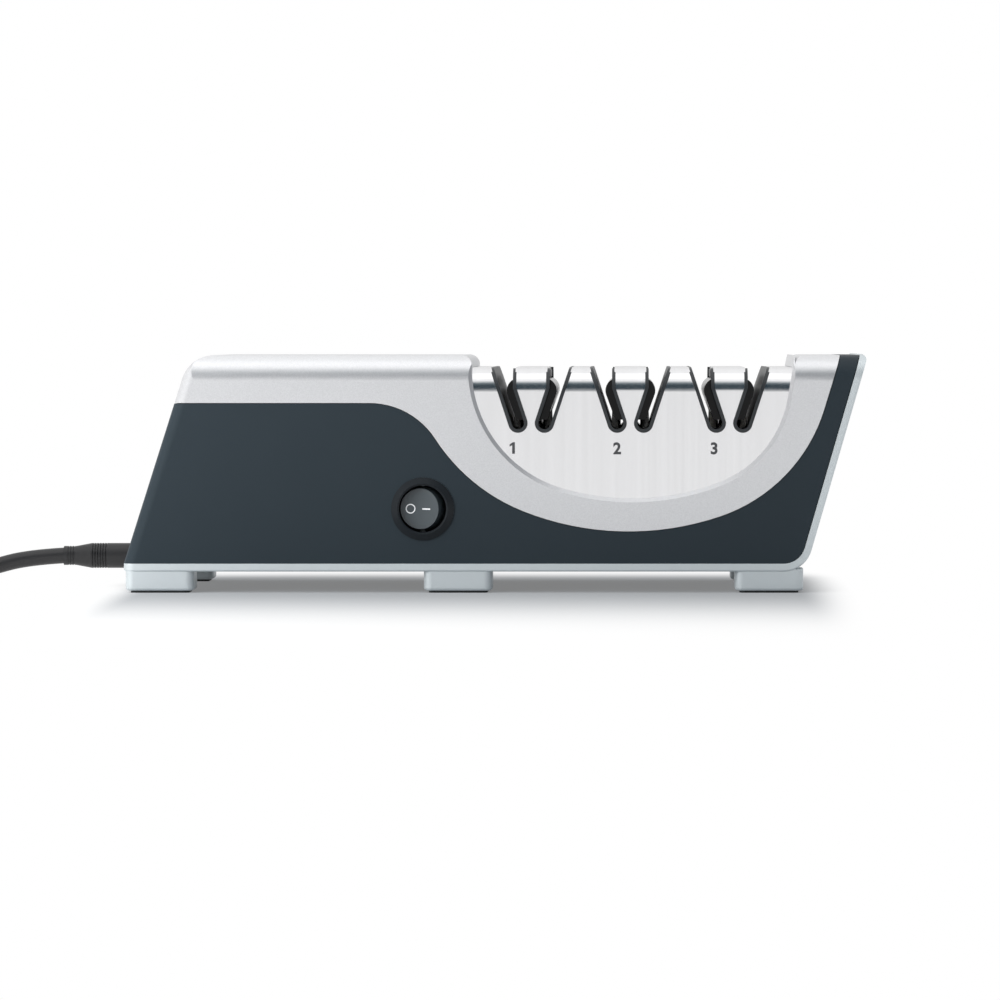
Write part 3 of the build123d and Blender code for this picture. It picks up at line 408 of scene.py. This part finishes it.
def layered(name, base, pitch, stretch, depth, metallic, roughness):
    """Stacked sheets or wound wire: lines of that pitch across the piece."""
    made, f = material(name)
    lines = f.add(
        "ShaderNodeTexWave",
        {"wave_type": "BANDS", "bands_direction": "X"},
        {
            "Vector": f.where(stretch),
            "Scale": math.pi / (10 * pitch),
            "Distortion": 0.6,
            "Detail": 1.0,
        },
    )[1]
    stain = f.noise(size=0.006, detail=3.0)
    f.surface(
        Base_Color=f.shade(base, (lines - 0.5) * 0.3 + (stain - 0.5) * 0.2),
        Metallic=metallic,
        Roughness=roughness + (stain - 0.5) * 0.2,
        Normal=f.bump(lines, depth),
    )
    return made


def print_ink(name, base):
    """Printed mark with slightly uneven ink."""
    made, f = material(name)
    fine = f.noise(size=0.0002, detail=2.0)
    f.surface(
        Base_Color=f.shade(base, (fine - 0.5) * 0.15),
        Roughness=0.5 + (fine - 0.5) * 0.2,
    )
    return made


def dress(made, *nodes):
    """Give CAD nodes one material."""
    for node in nodes:
        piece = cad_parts[node]
        piece.data.materials.clear()
        piece.data.materials.append(made)


SHARP_ANGLE = math.radians(35)


def smooth(piece):
    """Smooth shading except over sharp edges."""
    for polygon in piece.data.polygons:
        polygon.use_smooth = True
    piece.data.set_sharp_from_angle(angle=SHARP_ANGLE)


# ---- operators that finish the carried-over parts ----
class SHARPENER_OT_housing(Operator):
    """Finish the body shell, top cover, base and foot pads."""

    bl_idname = "sharpener.housing"
    bl_label = "Finish housing"

    def execute(self, context):
        look = context.scene.sharpener_housing
        dress(moulded("shell_plastic", look.shell, look.shell_gloss, level=0.15), "body_shell")
        dress(flake_paint("silver_paint", look.paint, look.paint_gloss), "top_cover")
        base = moulded(
            "silver_plastic",
            look.base,
            look.base_gloss,
            grain=0.0006,
            depth=0.00001,
            level=0.45,
            mottle=0.03,
            metallic=0.45,
        )
        dress(base, "base_pan", "cleanout_cover")
        rubber = moulded("pad_rubber", look.pads, roughness=0.7, grain=0.0006, depth=0.00004)
        dress(rubber, "foot_pads")
        return {"FINISHED"}


class SHARPENER_OT_stages(Operator):
    """Finish the steel cover, knife guides, springs and grinding discs."""

    bl_idname = "sharpener.stages"
    bl_label = "Finish sharpening stages"

    def execute(self, context):
        look = context.scene.sharpener_stages
        steel = brushed("brushed_steel", look.steel, look.steel_gloss, stretch=(2600, 26, 26))
        dress(steel, "steel_cover")
        guide = moulded(
            "guide_plastic", look.lip, roughness=0.38, grain=0.0005, depth=0.00001, level=0.4
        )
        glossy = moulded(
            "spring_plastic",
            look.spring,
            roughness=0.14,
            grain=0.001,
            depth=0.000004,
            level=0.2,
            mottle=0.02,
        )
        discs = {
            1: grit("coarse_diamond", (0.33, 0.33, 0.32), size=0.00030, sparkle=0.7),
            2: grit("fine_diamond", (0.42, 0.42, 0.41), size=0.00018, sparkle=0.7),
            3: grit("fine_ceramic", (0.72, 0.69, 0.62), size=0.00012, sparkle=0.0),
        }
        for stage, disc in discs.items():
            dress(guide, f"knife_guide_{stage}")
            dress(glossy, f"guide_spring_{stage}")
            dress(disc, f"grinding_disc_{stage}_left", f"grinding_disc_{stage}_right")
        return {"FINISHED"}


class SHARPENER_OT_switch(Operator):
    """Finish the switch and its rocker."""

    bl_idname = "sharpener.switch"
    bl_label = "Finish switch"

    def execute(self, context):
        look = context.scene.sharpener_stages
        satin = moulded(
            "switch_satin", look.switch, roughness=0.36, grain=0.0006, depth=0.000008, level=0.3
        )
        dress(satin, "switch_bezel", "switch_body")
        rocker = moulded(
            "rocker_satin", look.rocker, roughness=0.32, grain=0.0005, depth=0.00001
        )
        dress(rocker, "rocker")
        brass = machined("terminal_brass", (0.72, 0.52, 0.22), roughness=0.3)
        dress(brass, "switch_terminals")
        return {"FINISHED"}


class SHARPENER_OT_drive(Operator):
    """Finish the shaft, brackets, bushes, coupling, disc springs and clips."""

    bl_idname = "sharpener.drive"
    bl_label = "Finish drive line"

    def execute(self, context):
        ground = brushed(
            "ground_steel",
            (0.62, 0.62, 0.63),
            roughness=0.24,
            stretch=(2600, 300, 300),
            metallic=1.0,
        )
        dress(ground, "drive_shaft", "motor_shaft")
        spring = machined("spring_steel", (0.30, 0.31, 0.33), roughness=0.3)
        dress(spring, "disc_spring_1", "disc_spring_2", "disc_spring_3", "shaft_clips")
        bronze = machined("sintered_bronze", (0.46, 0.29, 0.13), roughness=0.45)
        dress(bronze, "inner_bush", "outer_bush")
        zinc = machined("bracket_zinc", (0.50, 0.51, 0.52), roughness=0.5)
        dress(zinc, "inner_bracket", "outer_bracket")
        dress(moulded("coupling_rubber", (0.03, 0.03, 0.03), roughness=0.6), "shaft_coupling")
        plate = machined("screw_zinc", (0.55, 0.55, 0.53), roughness=0.35)
        dress(plate, "base_screws", "cover_screws", "bracket_screws")
        dress(plate, "motor_foot_screws", "clamp_screws")
        return {"FINISHED"}


class SHARPENER_OT_motor(Operator):
    """Finish the motor, its fan, the wiring and the magnet."""

    bl_idname = "sharpener.motor"
    bl_label = "Finish motor"

    def execute(self, context):
        core = layered(
            "core_sheets",
            (0.20, 0.20, 0.21),
            pitch=0.0005,
            stretch=(1, 0, 0),
            depth=0.00004,
            metallic=0.8,
            roughness=0.5,
        )
        dress(core, "stator_core", "rotor")
        wound = layered(
            "wound_copper",
            (0.56, 0.20, 0.07),
            pitch=0.0004,
            stretch=(1, 0.4, 0),
            depth=0.00008,
            metallic=0.7,
            roughness=0.35,
        )
        dress(wound, "coil_winding")
        dress(machined("shading_copper", (0.72, 0.32, 0.17), roughness=0.35), "shading_bars")
        dress(moulded("former_plastic", (0.70, 0.66, 0.55), roughness=0.5), "coil_bobbin")
        plate = machined("plated_sheet", (0.58, 0.58, 0.56), roughness=0.38)
        dress(plate, "motor_plate_left", "motor_plate_right", "motor_bolts", "motor_nuts")
        bronze = machined("motor_bronze", (0.46, 0.29, 0.13), roughness=0.45)
        dress(bronze, "motor_bush_left", "motor_bush_right")
        dress(moulded("fan_plastic", (0.055, 0.055, 0.058), roughness=0.45), "cooling_fan")
        dress(moulded("wire_sleeve", (0.10, 0.032, 0.012), roughness=0.4), "lead_wires")
        dress(moulded("clamp_plastic", (0.055, 0.055, 0.058), roughness=0.5), "cord_clamp")
        ferrite = machined("ferrite", (0.045, 0.045, 0.05), roughness=0.6, metallic=0.2)
        dress(ferrite, "filings_magnet")
        return {"FINISHED"}


# ---- printed marks ----
def build_mesh(name, points, faces):
    """A mesh object from points and faces."""
    data = bpy.data.meshes.new(name)
    data.from_pydata(points, [], faces)
    data.update()
    made = bpy.data.objects.new(name, data)
    bpy.context.scene.collection.objects.link(made)
    return made


# How far each numeral stands from the middle of its stage.
NUMERAL_SHIFT = {1: -0.0081, 2: -0.0057, 3: -0.0066}
# How far the ink reaches before and behind the face of the steel.
INK_PROUD = 0.00003
# The height of a digit at text size 1.
DIGIT_HEIGHT = 0.73
# The numeral one with its flag, in numeral heights.
ONE_OUTLINE = [
    (-0.02, 0.0),
    (0.22, 0.0),
    (0.22, 1.0),
    (0.03, 1.0),
    (-0.24, 0.80),
    (-0.24, 0.62),
    (-0.02, 0.74),
]


def stage_middle(stage):
    """X of the middle of one stage, from its knife guide."""
    low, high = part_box(f"knife_guide_{stage}")
    return (low.x + high.x) / 2


def numeral(stage, marks):
    """The curve of one stage numeral, its foot at the origin."""
    name = f"numeral_{stage}"
    if stage == 1:
        made = bpy.data.curves.new(name, "CURVE")
        made.dimensions = "2D"
        made.fill_mode = "BOTH"
        spline = made.splines.new("POLY")
        spline.points.add(len(ONE_OUTLINE) - 1)
        for point, (x, y) in zip(spline.points, ONE_OUTLINE):
            point.co = (x * marks.numeral_height, y * marks.numeral_height, 0, 1)
        spline.use_cyclic_u = True
        return made
    made = bpy.data.curves.new(name, "FONT")
    made.body = str(stage)
    made.size = marks.numeral_height / DIGIT_HEIGHT
    made.offset = marks.numeral_bold
    made.align_x = "CENTER"
    return made


class SHARPENER_OT_numerals(Operator):
    """Print the stage numerals on the steel cover."""

    bl_idname = "sharpener.numerals"
    bl_label = "Print stage numerals"

    def execute(self, context):
        marks = context.scene.sharpener_marks
        ink = print_ink("numeral_ink", context.scene.sharpener_stages.ink)
        for stage, shift in NUMERAL_SHIFT.items():
            text = numeral(stage, marks)
            text.extrude = INK_PROUD
            text.materials.append(ink)
            made = bpy.data.objects.new(text.name, text)
            context.scene.collection.objects.link(made)
            made.rotation_euler = (math.radians(90), 0, 0)
            made.location = (stage_middle(stage) + shift, steel_low.y, marks.numeral_z)
            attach(made, "housing")
        return {"FINISHED"}


# Middles of the ring and the bar, as x and z.
ROCKER_RING = (-0.0363, 0.0362)
ROCKER_BAR = (-0.0295, 0.0361)
RING_STEPS = 48
BAR_STEPS = 8
# How far the marks stand above the rocker's face and reach below it.
MARK_PROUD = 0.00004
MARK_SUNK = 0.00010
# How far before the rocker the search for its face starts.
SEARCH_START = 0.02


def on_rocker(surface, x, z, proud):
    """The point on the rocker's face behind x and z, raised by proud."""
    start = Vector((x, rocker_low.y - SEARCH_START, z))
    hit, _, _, _ = surface.ray_cast(start, Vector((0, 1, 0)))
    if hit is None:
        raise RuntimeError(f"no rocker face at {x:.4f}, {z:.4f}")
    return hit + Vector((0, -proud, 0))


def raised_mark(name, outline, surface):
    """A closed thin mark on the rocker: outline holds rows of (x, z) pairs across its stroke."""
    top = [on_rocker(surface, x, z, MARK_PROUD) for row in outline for x, z in row]
    under = [on_rocker(surface, x, z, -MARK_SUNK) for row in outline for x, z in row]
    across = len(outline[0])
    rows = len(outline)
    count = rows * across
    faces = []
    for i in range(rows - 1):
        for j in range(across - 1):
            a, b = i * across + j, i * across + j + 1
            c, d = a + across, b + across
            faces += [(a, b, d, c), (count + a, count + c, count + d, count + b)]
    inner = [i * across for i in range(rows)]
    outer = [i * across + across - 1 for i in range(rows)]
    first = list(range(across))
    last = [count - across + j for j in range(across)]
    for line, turned in ((inner, False), (outer, True), (first, True), (last, False)):
        for a, b in zip(line, line[1:]):
            side = (a, b, count + b, count + a)
            faces.append(side[::-1] if turned else side)
    return build_mesh(name, top + under, faces)


def ring_rows(marks):
    """The off ring as rows across its stroke."""
    half = marks.ring_stroke / 2
    radii = (marks.ring_radius - half, marks.ring_radius, marks.ring_radius + half)
    rows = []
    for step in range(RING_STEPS + 1):
        turn = 2 * math.pi * step / RING_STEPS
        x, z = math.cos(turn), math.sin(turn)
        rows.append([(ROCKER_RING[0] + r * x, ROCKER_RING[1] + r * z) for r in radii])
    return rows


def bar_rows(marks):
    """The on bar as rows across its stroke."""
    half = marks.bar_stroke / 2
    rows = []
    for step in range(BAR_STEPS + 1):
        x = ROCKER_BAR[0] + marks.bar_length * (step / BAR_STEPS - 0.5)
        rows.append([(x, ROCKER_BAR[1] + z) for z in (-half, 0.0, half)])
    return rows


class SHARPENER_OT_switch_marks(Operator):
    """Print the off ring and the on bar on the rocker."""

    bl_idname = "sharpener.switch_marks"
    bl_label = "Print switch marks"

    def execute(self, context):
        marks = context.scene.sharpener_marks
        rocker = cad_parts["rocker"]
        surface = BVHTree.FromObject(rocker, context.evaluated_depsgraph_get())
        ink = print_ink("rocker_ink", context.scene.sharpener_stages.mark)
        for name, outline in (("off_ring", ring_rows(marks)), ("on_bar", bar_rows(marks))):
            made = raised_mark(name, outline, surface)
            made.data.materials.append(ink)
            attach(made, "rocker_button")
        return {"FINISHED"}


# ---- cord ----
# The lead from the strain relief to the coil, and the tail from the coil to the plug.
CORD_ROUTE = [
    (-0.1920, 0.0000, 0.0135),
    (-0.2080, -0.0004, 0.0126),
    (-0.2240, -0.0042, 0.0084),
    (-0.2385, -0.0115, 0.0044),
    (-0.2510, -0.0215, 0.0035),
    (-0.2610, -0.0325, 0.0035),
]
# The coil is wound in tracks from the outside in, each a few layers high, then crosses over.
COIL_MIDDLE = (-0.295, 0.0)
COIL_TRACKS = [0.0455, 0.0385, 0.0315]
COIL_START = -44.0
COIL_LAYERS = 3
TRACK_TURNS = 2
LAST_TURNS = 1.25
CROSS_TURNS = 0.25
# The tail eases from the innermost turn to this circle and height, a step of degrees at a time.
TAIL_MIDDLE = (-0.291, 0.003)
TAIL_RADIUS = 0.036
TAIL_START = 106
TAIL_STEP = 30
TAIL_POINTS = 6
TAIL_TOP = 0.0278
# Steps of the finished curve from one control point to the next, and fineness of its round.
CURVE_STEPS = 8
ROUND_STEPS = 6


def on_circle(middle, radius, turn, z):
    """The point at that turn, in degrees, on a circle at height z."""
    angle = math.radians(turn)
    return (middle[0] + radius * math.cos(angle), middle[1] + radius * math.sin(angle), z)


def swell(step):
    """How much larger than its circle the ring of control points a step apart is."""
    return 1 / math.cos(math.radians(step / 2))


def coil_points(diameter, per_turn):
    """Control points of the put-away turns: up, down and up again, a track further in each."""
    step = 360 / per_turn
    low = diameter / 2
    high = low + (COIL_LAYERS - 1) * diameter
    course = []
    for track, radius in enumerate(COIL_TRACKS):
        last = track == len(COIL_TRACKS) - 1
        start, end = (low, high) if track % 2 == 0 else (high, low)
        steps = round((LAST_TURNS if last else TRACK_TURNS) * per_turn)
        course += [(radius, start + (end - start) * i / steps) for i in range(1, steps + 1)]
        if not last:
            inner = COIL_TRACKS[track + 1]
            cross = round(CROSS_TURNS * per_turn)
            course += [(radius + (inner - radius) * i / cross, end) for i in range(1, cross)]
    return [
        on_circle(COIL_MIDDLE, radius * swell(step), COIL_START - step * (place + 1), z)
        for place, (radius, z) in enumerate(course)
    ]


def tail_points(diameter):
    """Control points that ease from the innermost turn, over the coil, to the plug."""
    top = diameter / 2 + (COIL_LAYERS - 1) * diameter
    made = []
    for step in range(1, TAIL_POINTS + 1):
        eased = step / (TAIL_POINTS + 1)
        middle = Vector(COIL_MIDDLE).lerp(Vector(TAIL_MIDDLE), eased)
        radius = swell(TAIL_STEP) * (COIL_TRACKS[-1] + (TAIL_RADIUS - COIL_TRACKS[-1]) * eased)
        turn = TAIL_START - step * TAIL_STEP
        made.append(on_circle(middle, radius, turn, top + (TAIL_TOP - top) * eased))
    return made


# The band round the coil: its place in degrees, its sizes, and how square its corners are.
TIE_TURN = 128
TIE_WIDTH = 0.006
TIE_THICK = 0.0008
TIE_STEPS = 40
TIE_CORNER = 0.5


def tie_outline(half_across, half_up):
    """Points of a rounded band about the bundle, from its middle."""
    made = []
    for step in range(TIE_STEPS):
        angle = 2 * math.pi * step / TIE_STEPS
        x, z = math.cos(angle), math.sin(angle)
        across = math.copysign(abs(x) ** TIE_CORNER, x) * half_across
        up = math.copysign(abs(z) ** TIE_CORNER, z) * half_up
        made.append((across, up))
    return made


def coil_tie(diameter):
    """The band that holds the turns together at one place of the coil."""
    inner, outer = COIL_TRACKS[-1] - diameter / 2, COIL_TRACKS[0] + diameter / 2
    across = (outer - inner) / 2
    up = COIL_LAYERS * diameter / 2
    out = Vector(on_circle((0, 0), 1.0, TIE_TURN, 0))
    along = Vector((-out.y, out.x, 0)) * (TIE_WIDTH / 2)
    middle = Vector((*COIL_MIDDLE, up)) + out * (inner + outer) / 2
    skin = tie_outline(across + TIE_THICK, up)
    lining = tie_outline(across, up - TIE_THICK)
    rings = [(skin, along), (skin, -along), (lining, -along), (lining, along)]
    points = []
    for ring, shift in rings:
        points += [middle + out * x + Vector((0, 0, z)) + shift for x, z in ring]
    faces = []
    for ring in range(len(rings)):
        a, b = ring * TIE_STEPS, (ring + 1) % len(rings) * TIE_STEPS
        for i in range(TIE_STEPS):
            j = (i + 1) % TIE_STEPS
            faces.append((a + i, b + i, b + j, a + j))
    return build_mesh("coil_tie", points, faces)


class SHARPENER_OT_cord(Operator):
    """Lay the mains cord from the strain relief through its coil to the plug."""

    bl_idname = "sharpener.cord"
    bl_label = "Lay mains cord"

    def execute(self, context):
        cord = context.scene.sharpener_cord
        jacket = moulded(
            "cord_jacket", cord.jacket, roughness=0.42, grain=0.0008, depth=0.00001
        )
        rubber = moulded("relief_rubber", cord.jacket, roughness=0.45, grain=0.0006)
        dress(rubber, "strain_relief", "plug_body")
        dress(jacket, "inner_cord", "cord_lead", "cord_coil", "cord_tail")
        dress(machined("blade_nickel", (0.70, 0.69, 0.66), roughness=0.25), "plug_blades")
        points = CORD_ROUTE + coil_points(cord.diameter, cord.turn_points)
        points += tail_points(cord.diameter)
        end = (plug_low + plug_high) / 2
        end.x = plug_high.x
        points.append(tuple(end))
        line = bpy.data.curves.new("mains_cord", "CURVE")
        line.dimensions = "3D"
        line.resolution_u = CURVE_STEPS
        line.bevel_depth = cord.diameter / 2
        line.bevel_resolution = ROUND_STEPS
        line.use_fill_caps = True
        spline = line.splines.new("NURBS")
        spline.points.add(len(points) - 1)
        for point, place in zip(spline.points, points):
            point.co = (*place, 1.0)
        spline.order_u = 3
        spline.use_endpoint_u = True
        made = bpy.data.objects.new("mains_cord", line)
        context.scene.collection.objects.link(made)
        line.materials.append(jacket)
        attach(made, "housing")
        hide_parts("cord_lead", "cord_coil", "cord_tail")
        tie = coil_tie(cord.diameter)
        tie.data.materials.append(rubber)
        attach(tie, "housing")
        return {"FINISHED"}


# ---- stage ----
TOP_BOX = {"place": (0.0, -0.25, 1.10), "aim": (0.0, 0.0, 0.05), "size": (1.2, 0.6)}
LEFT_BOX = {"place": (-0.42, -0.32, 0.27), "aim": (-0.12, 0.0, 0.06), "size": (0.5, 0.5)}
CAMERA_PLACE = (0.0590, -1.872, 0.110)
CAMERA_SHIFT = (-0.132, -0.1628)
SENSOR_WIDTH = 36.0
CLIP_START = 0.01
FLOOR_HALF = 6.0
# Painted shadow: the floor's own colour near the piece, darker than its white further off.
FLOOR_PAINTED_SHADOW = (0.30, 0.32, 0.34)
FLOOR_FAR = (0.93, 0.93, 0.93)
# The floor's colour is painted darker under and before the piece, a painted shadow on top of the
# real one: where it lies, how far beyond that it fades out, and how far the floor's plain white is
# mixed into it.
SHADOW_MIDDLE = -0.010
SHADOW_HALF = 0.140
SHADOW_SIDE = 0.026
SHADOW_FRONT = 0.32
SHADOW_BACK = 0.08
SHADOW_LIFT = 0.20
# Brightness of the studio by the sine of the height above the horizon.
FRONT_BANDS = [
    (0.0, (0.95, 0.95, 0.95)),
    (0.09, (0.92, 0.92, 0.93)),
    (0.18, (0.02, 0.04, 0.055)),
    (0.50, (0.02, 0.04, 0.055)),
    (0.64, (0.16, 0.20, 0.22)),
    (0.80, (1.15, 1.15, 1.15)),
    (1.0, (1.05, 1.05, 1.05)),
]
BACK_BANDS = [(0.0, (0.80, 0.80, 0.80)), (0.4, (0.90, 0.90, 0.90)), (1.0, (1.1, 1.1, 1.1))]
# The pale wall on the left and the grey one on the right: where they begin, times the edge's
# steepness, by the sideways part of the direction.
WALL_EDGE = 3
LEFT_WALL = 0.6
RIGHT_WALL = 0.6
LEFT_TONE = (0.80, 0.80, 0.80)
RIGHT_TONE = (0.40, 0.41, 0.43)


def softbox(name, place, aim, size, power):
    """An area lamp that faces aim and is not seen itself."""
    lamp = bpy.data.lights.new(name, "AREA")
    lamp.shape = "RECTANGLE"
    lamp.size, lamp.size_y = size
    lamp.energy = power
    made = bpy.data.objects.new(name, lamp)
    made.location = place
    made.rotation_mode = "QUATERNION"
    away = Vector(place) - Vector(aim)
    made.rotation_quaternion = away.to_track_quat("Z", "Y")
    made.visible_camera = False
    bpy.context.scene.collection.objects.link(made)
    return made


class SHARPENER_OT_studio(Operator):
    """Set up the pale floor, the soft light and the camera."""

    bl_idname = "sharpener.studio"
    bl_label = "Set up studio"

    def execute(self, context):
        studio = context.scene.sharpener_studio
        self.floor()
        self.sky(studio)
        softbox("overhead_softbox", power=studio.top_power, **TOP_BOX)
        left = softbox("left_softbox", power=studio.side_power, **LEFT_BOX)
        left.visible_glossy = False
        self.camera(studio)
        context.scene.view_settings.view_transform = "Standard"
        return {"FINISHED"}

    def floor(self):
        """White floor that takes the real soft shadow near the piece, darkened there by a painted
        shadow in its colour, and fades to plain white.
        """
        h = FLOOR_HALF
        made = build_mesh("floor", [(-h, -h, 0), (h, -h, 0), (h, h, 0), (-h, h, 0)], [(0, 1, 2, 3)])
        look, f = material("floor_with_painted_shadow")
        place = f.split(f.where())
        across = (abs(place[0] - SHADOW_MIDDLE) - SHADOW_HALF) / SHADOW_SIDE
        before = (base_low.y - place[1]) / SHADOW_FRONT
        behind = (place[1] - base_high.y) / SHADOW_BACK
        beyond = {0: across.at_least(0.0), 1: before.at_least(behind).at_least(0.0)}
        apart = f.add("ShaderNodeCombineXYZ", None, beyond)
        reach = f.add("ShaderNodeVectorMath", {"operation": "LENGTH"}, {0: apart[0]})["Value"]
        near = reach.held()
        far = near * near * (3 - 2 * near)
        rays = f.add("ShaderNodeLightPath")
        seen = (rays["Is Camera Ray"] + rays["Is Glossy Ray"] + rays["Is Transmission Ray"]).held()
        # Painted shadow: the floor's colour goes darker near the piece.
        tone = f.mix(far, FLOOR_PAINTED_SHADOW, FLOOR_FAR)
        matt = f.principled(Base_Color=tone, Roughness=1.0, Specular_IOR_Level=0.0)
        glow = f.add("ShaderNodeEmission", None, {"Color": (1, 1, 1), "Strength": 1.0})
        lift = seen * (SHADOW_LIFT + (1 - SHADOW_LIFT) * far)
        f.close(f.add("ShaderNodeMixShader", None, {0: lift, 1: matt, 2: glow[0]})[0])
        made.data.materials.append(look)

    def sky(self, studio):
        """White to the camera; a banded studio for light and reflections."""
        world = bpy.data.worlds.new("studio")
        bpy.context.scene.world = world
        f = Finish(world, "ShaderNodeOutputWorld")
        seen = f.add("ShaderNodeLightPath")["Is Camera Ray"]
        white = f.add("ShaderNodeBackground", None, {"Color": (1, 1, 1), "Strength": 1.0})
        way = f.split(f.add("ShaderNodeTexCoord")["Generated"])
        front = f.add("ShaderNodeValToRGB", {"stops": FRONT_BANDS}, {0: way[2]})
        back = f.add("ShaderNodeValToRGB", {"stops": BACK_BANDS}, {0: way[2]})
        behind = (way[1] * WALL_EDGE + 0.5).held()
        tone = f.mix(behind, front[0], back[0])
        left = (way[0] * -WALL_EDGE - LEFT_WALL).held()
        right = (way[0] * WALL_EDGE - RIGHT_WALL).held()
        walls = f.mix(right, f.mix(left, tone, LEFT_TONE), RIGHT_TONE)
        grey = f.add("ShaderNodeBackground", None, {"Color": walls, "Strength": studio.sky})
        f.close(f.add("ShaderNodeMixShader", None, {0: seen, 1: grey[0], 2: white[0]})[0])

    def camera(self, studio):
        """Level camera before the front, shifted and not turned."""
        view = bpy.data.cameras.new("front_view")
        view.lens = studio.lens
        view.sensor_width = SENSOR_WIDTH
        view.shift_x, view.shift_y = CAMERA_SHIFT
        view.clip_start = CLIP_START
        made = bpy.data.objects.new("front_view", view)
        made.location = CAMERA_PLACE
        made.rotation_euler = (math.radians(90), 0, 0)
        bpy.context.scene.collection.objects.link(made)
        bpy.context.scene.camera = made


# ---- add-on ----
class SHARPENER_PT_panel(Panel):
    """Lists the sharpener's settings and steps."""

    bl_idname = "SHARPENER_PT_panel"
    bl_label = "Knife sharpener"
    bl_space_type = "VIEW_3D"
    bl_region_type = "UI"
    bl_category = "Sharpener"

    def draw(self, context):
        for step in STEPS:
            self.layout.operator(step.bl_idname)
        for group in GROUPS:
            box = self.layout.box()
            settings = getattr(context.scene, group)
            for name in settings.bl_rna.properties.keys():
                if name not in ("rna_type", "name"):
                    box.prop(settings, name)


STEPS = [
    SHARPENER_OT_studio,
    SHARPENER_OT_cord,
    SHARPENER_OT_housing,
    SHARPENER_OT_stages,
    SHARPENER_OT_switch,
    SHARPENER_OT_drive,
    SHARPENER_OT_motor,
    SHARPENER_OT_numerals,
    SHARPENER_OT_switch_marks,
]


def register():
    """Register the settings, the steps and the panel."""
    for group, settings in GROUPS.items():
        bpy.utils.register_class(settings)
        setattr(bpy.types.Scene, group, PointerProperty(type=settings))
    for step in STEPS:
        bpy.utils.register_class(step)
    bpy.utils.register_class(SHARPENER_PT_panel)


def unregister():
    """Undo register."""
    bpy.utils.unregister_class(SHARPENER_PT_panel)
    for step in reversed(STEPS):
        bpy.utils.unregister_class(step)
    for group, settings in reversed(list(GROUPS.items())):
        delattr(bpy.types.Scene, group)
        bpy.utils.unregister_class(settings)


def main():
    """Register the add-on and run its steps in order."""
    register()
    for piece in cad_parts.values():
        smooth(piece)
    for step in STEPS:
        group, name = step.bl_idname.split(".")
        getattr(getattr(bpy.ops, group), name)()


if __name__ == "__main__":
    main()
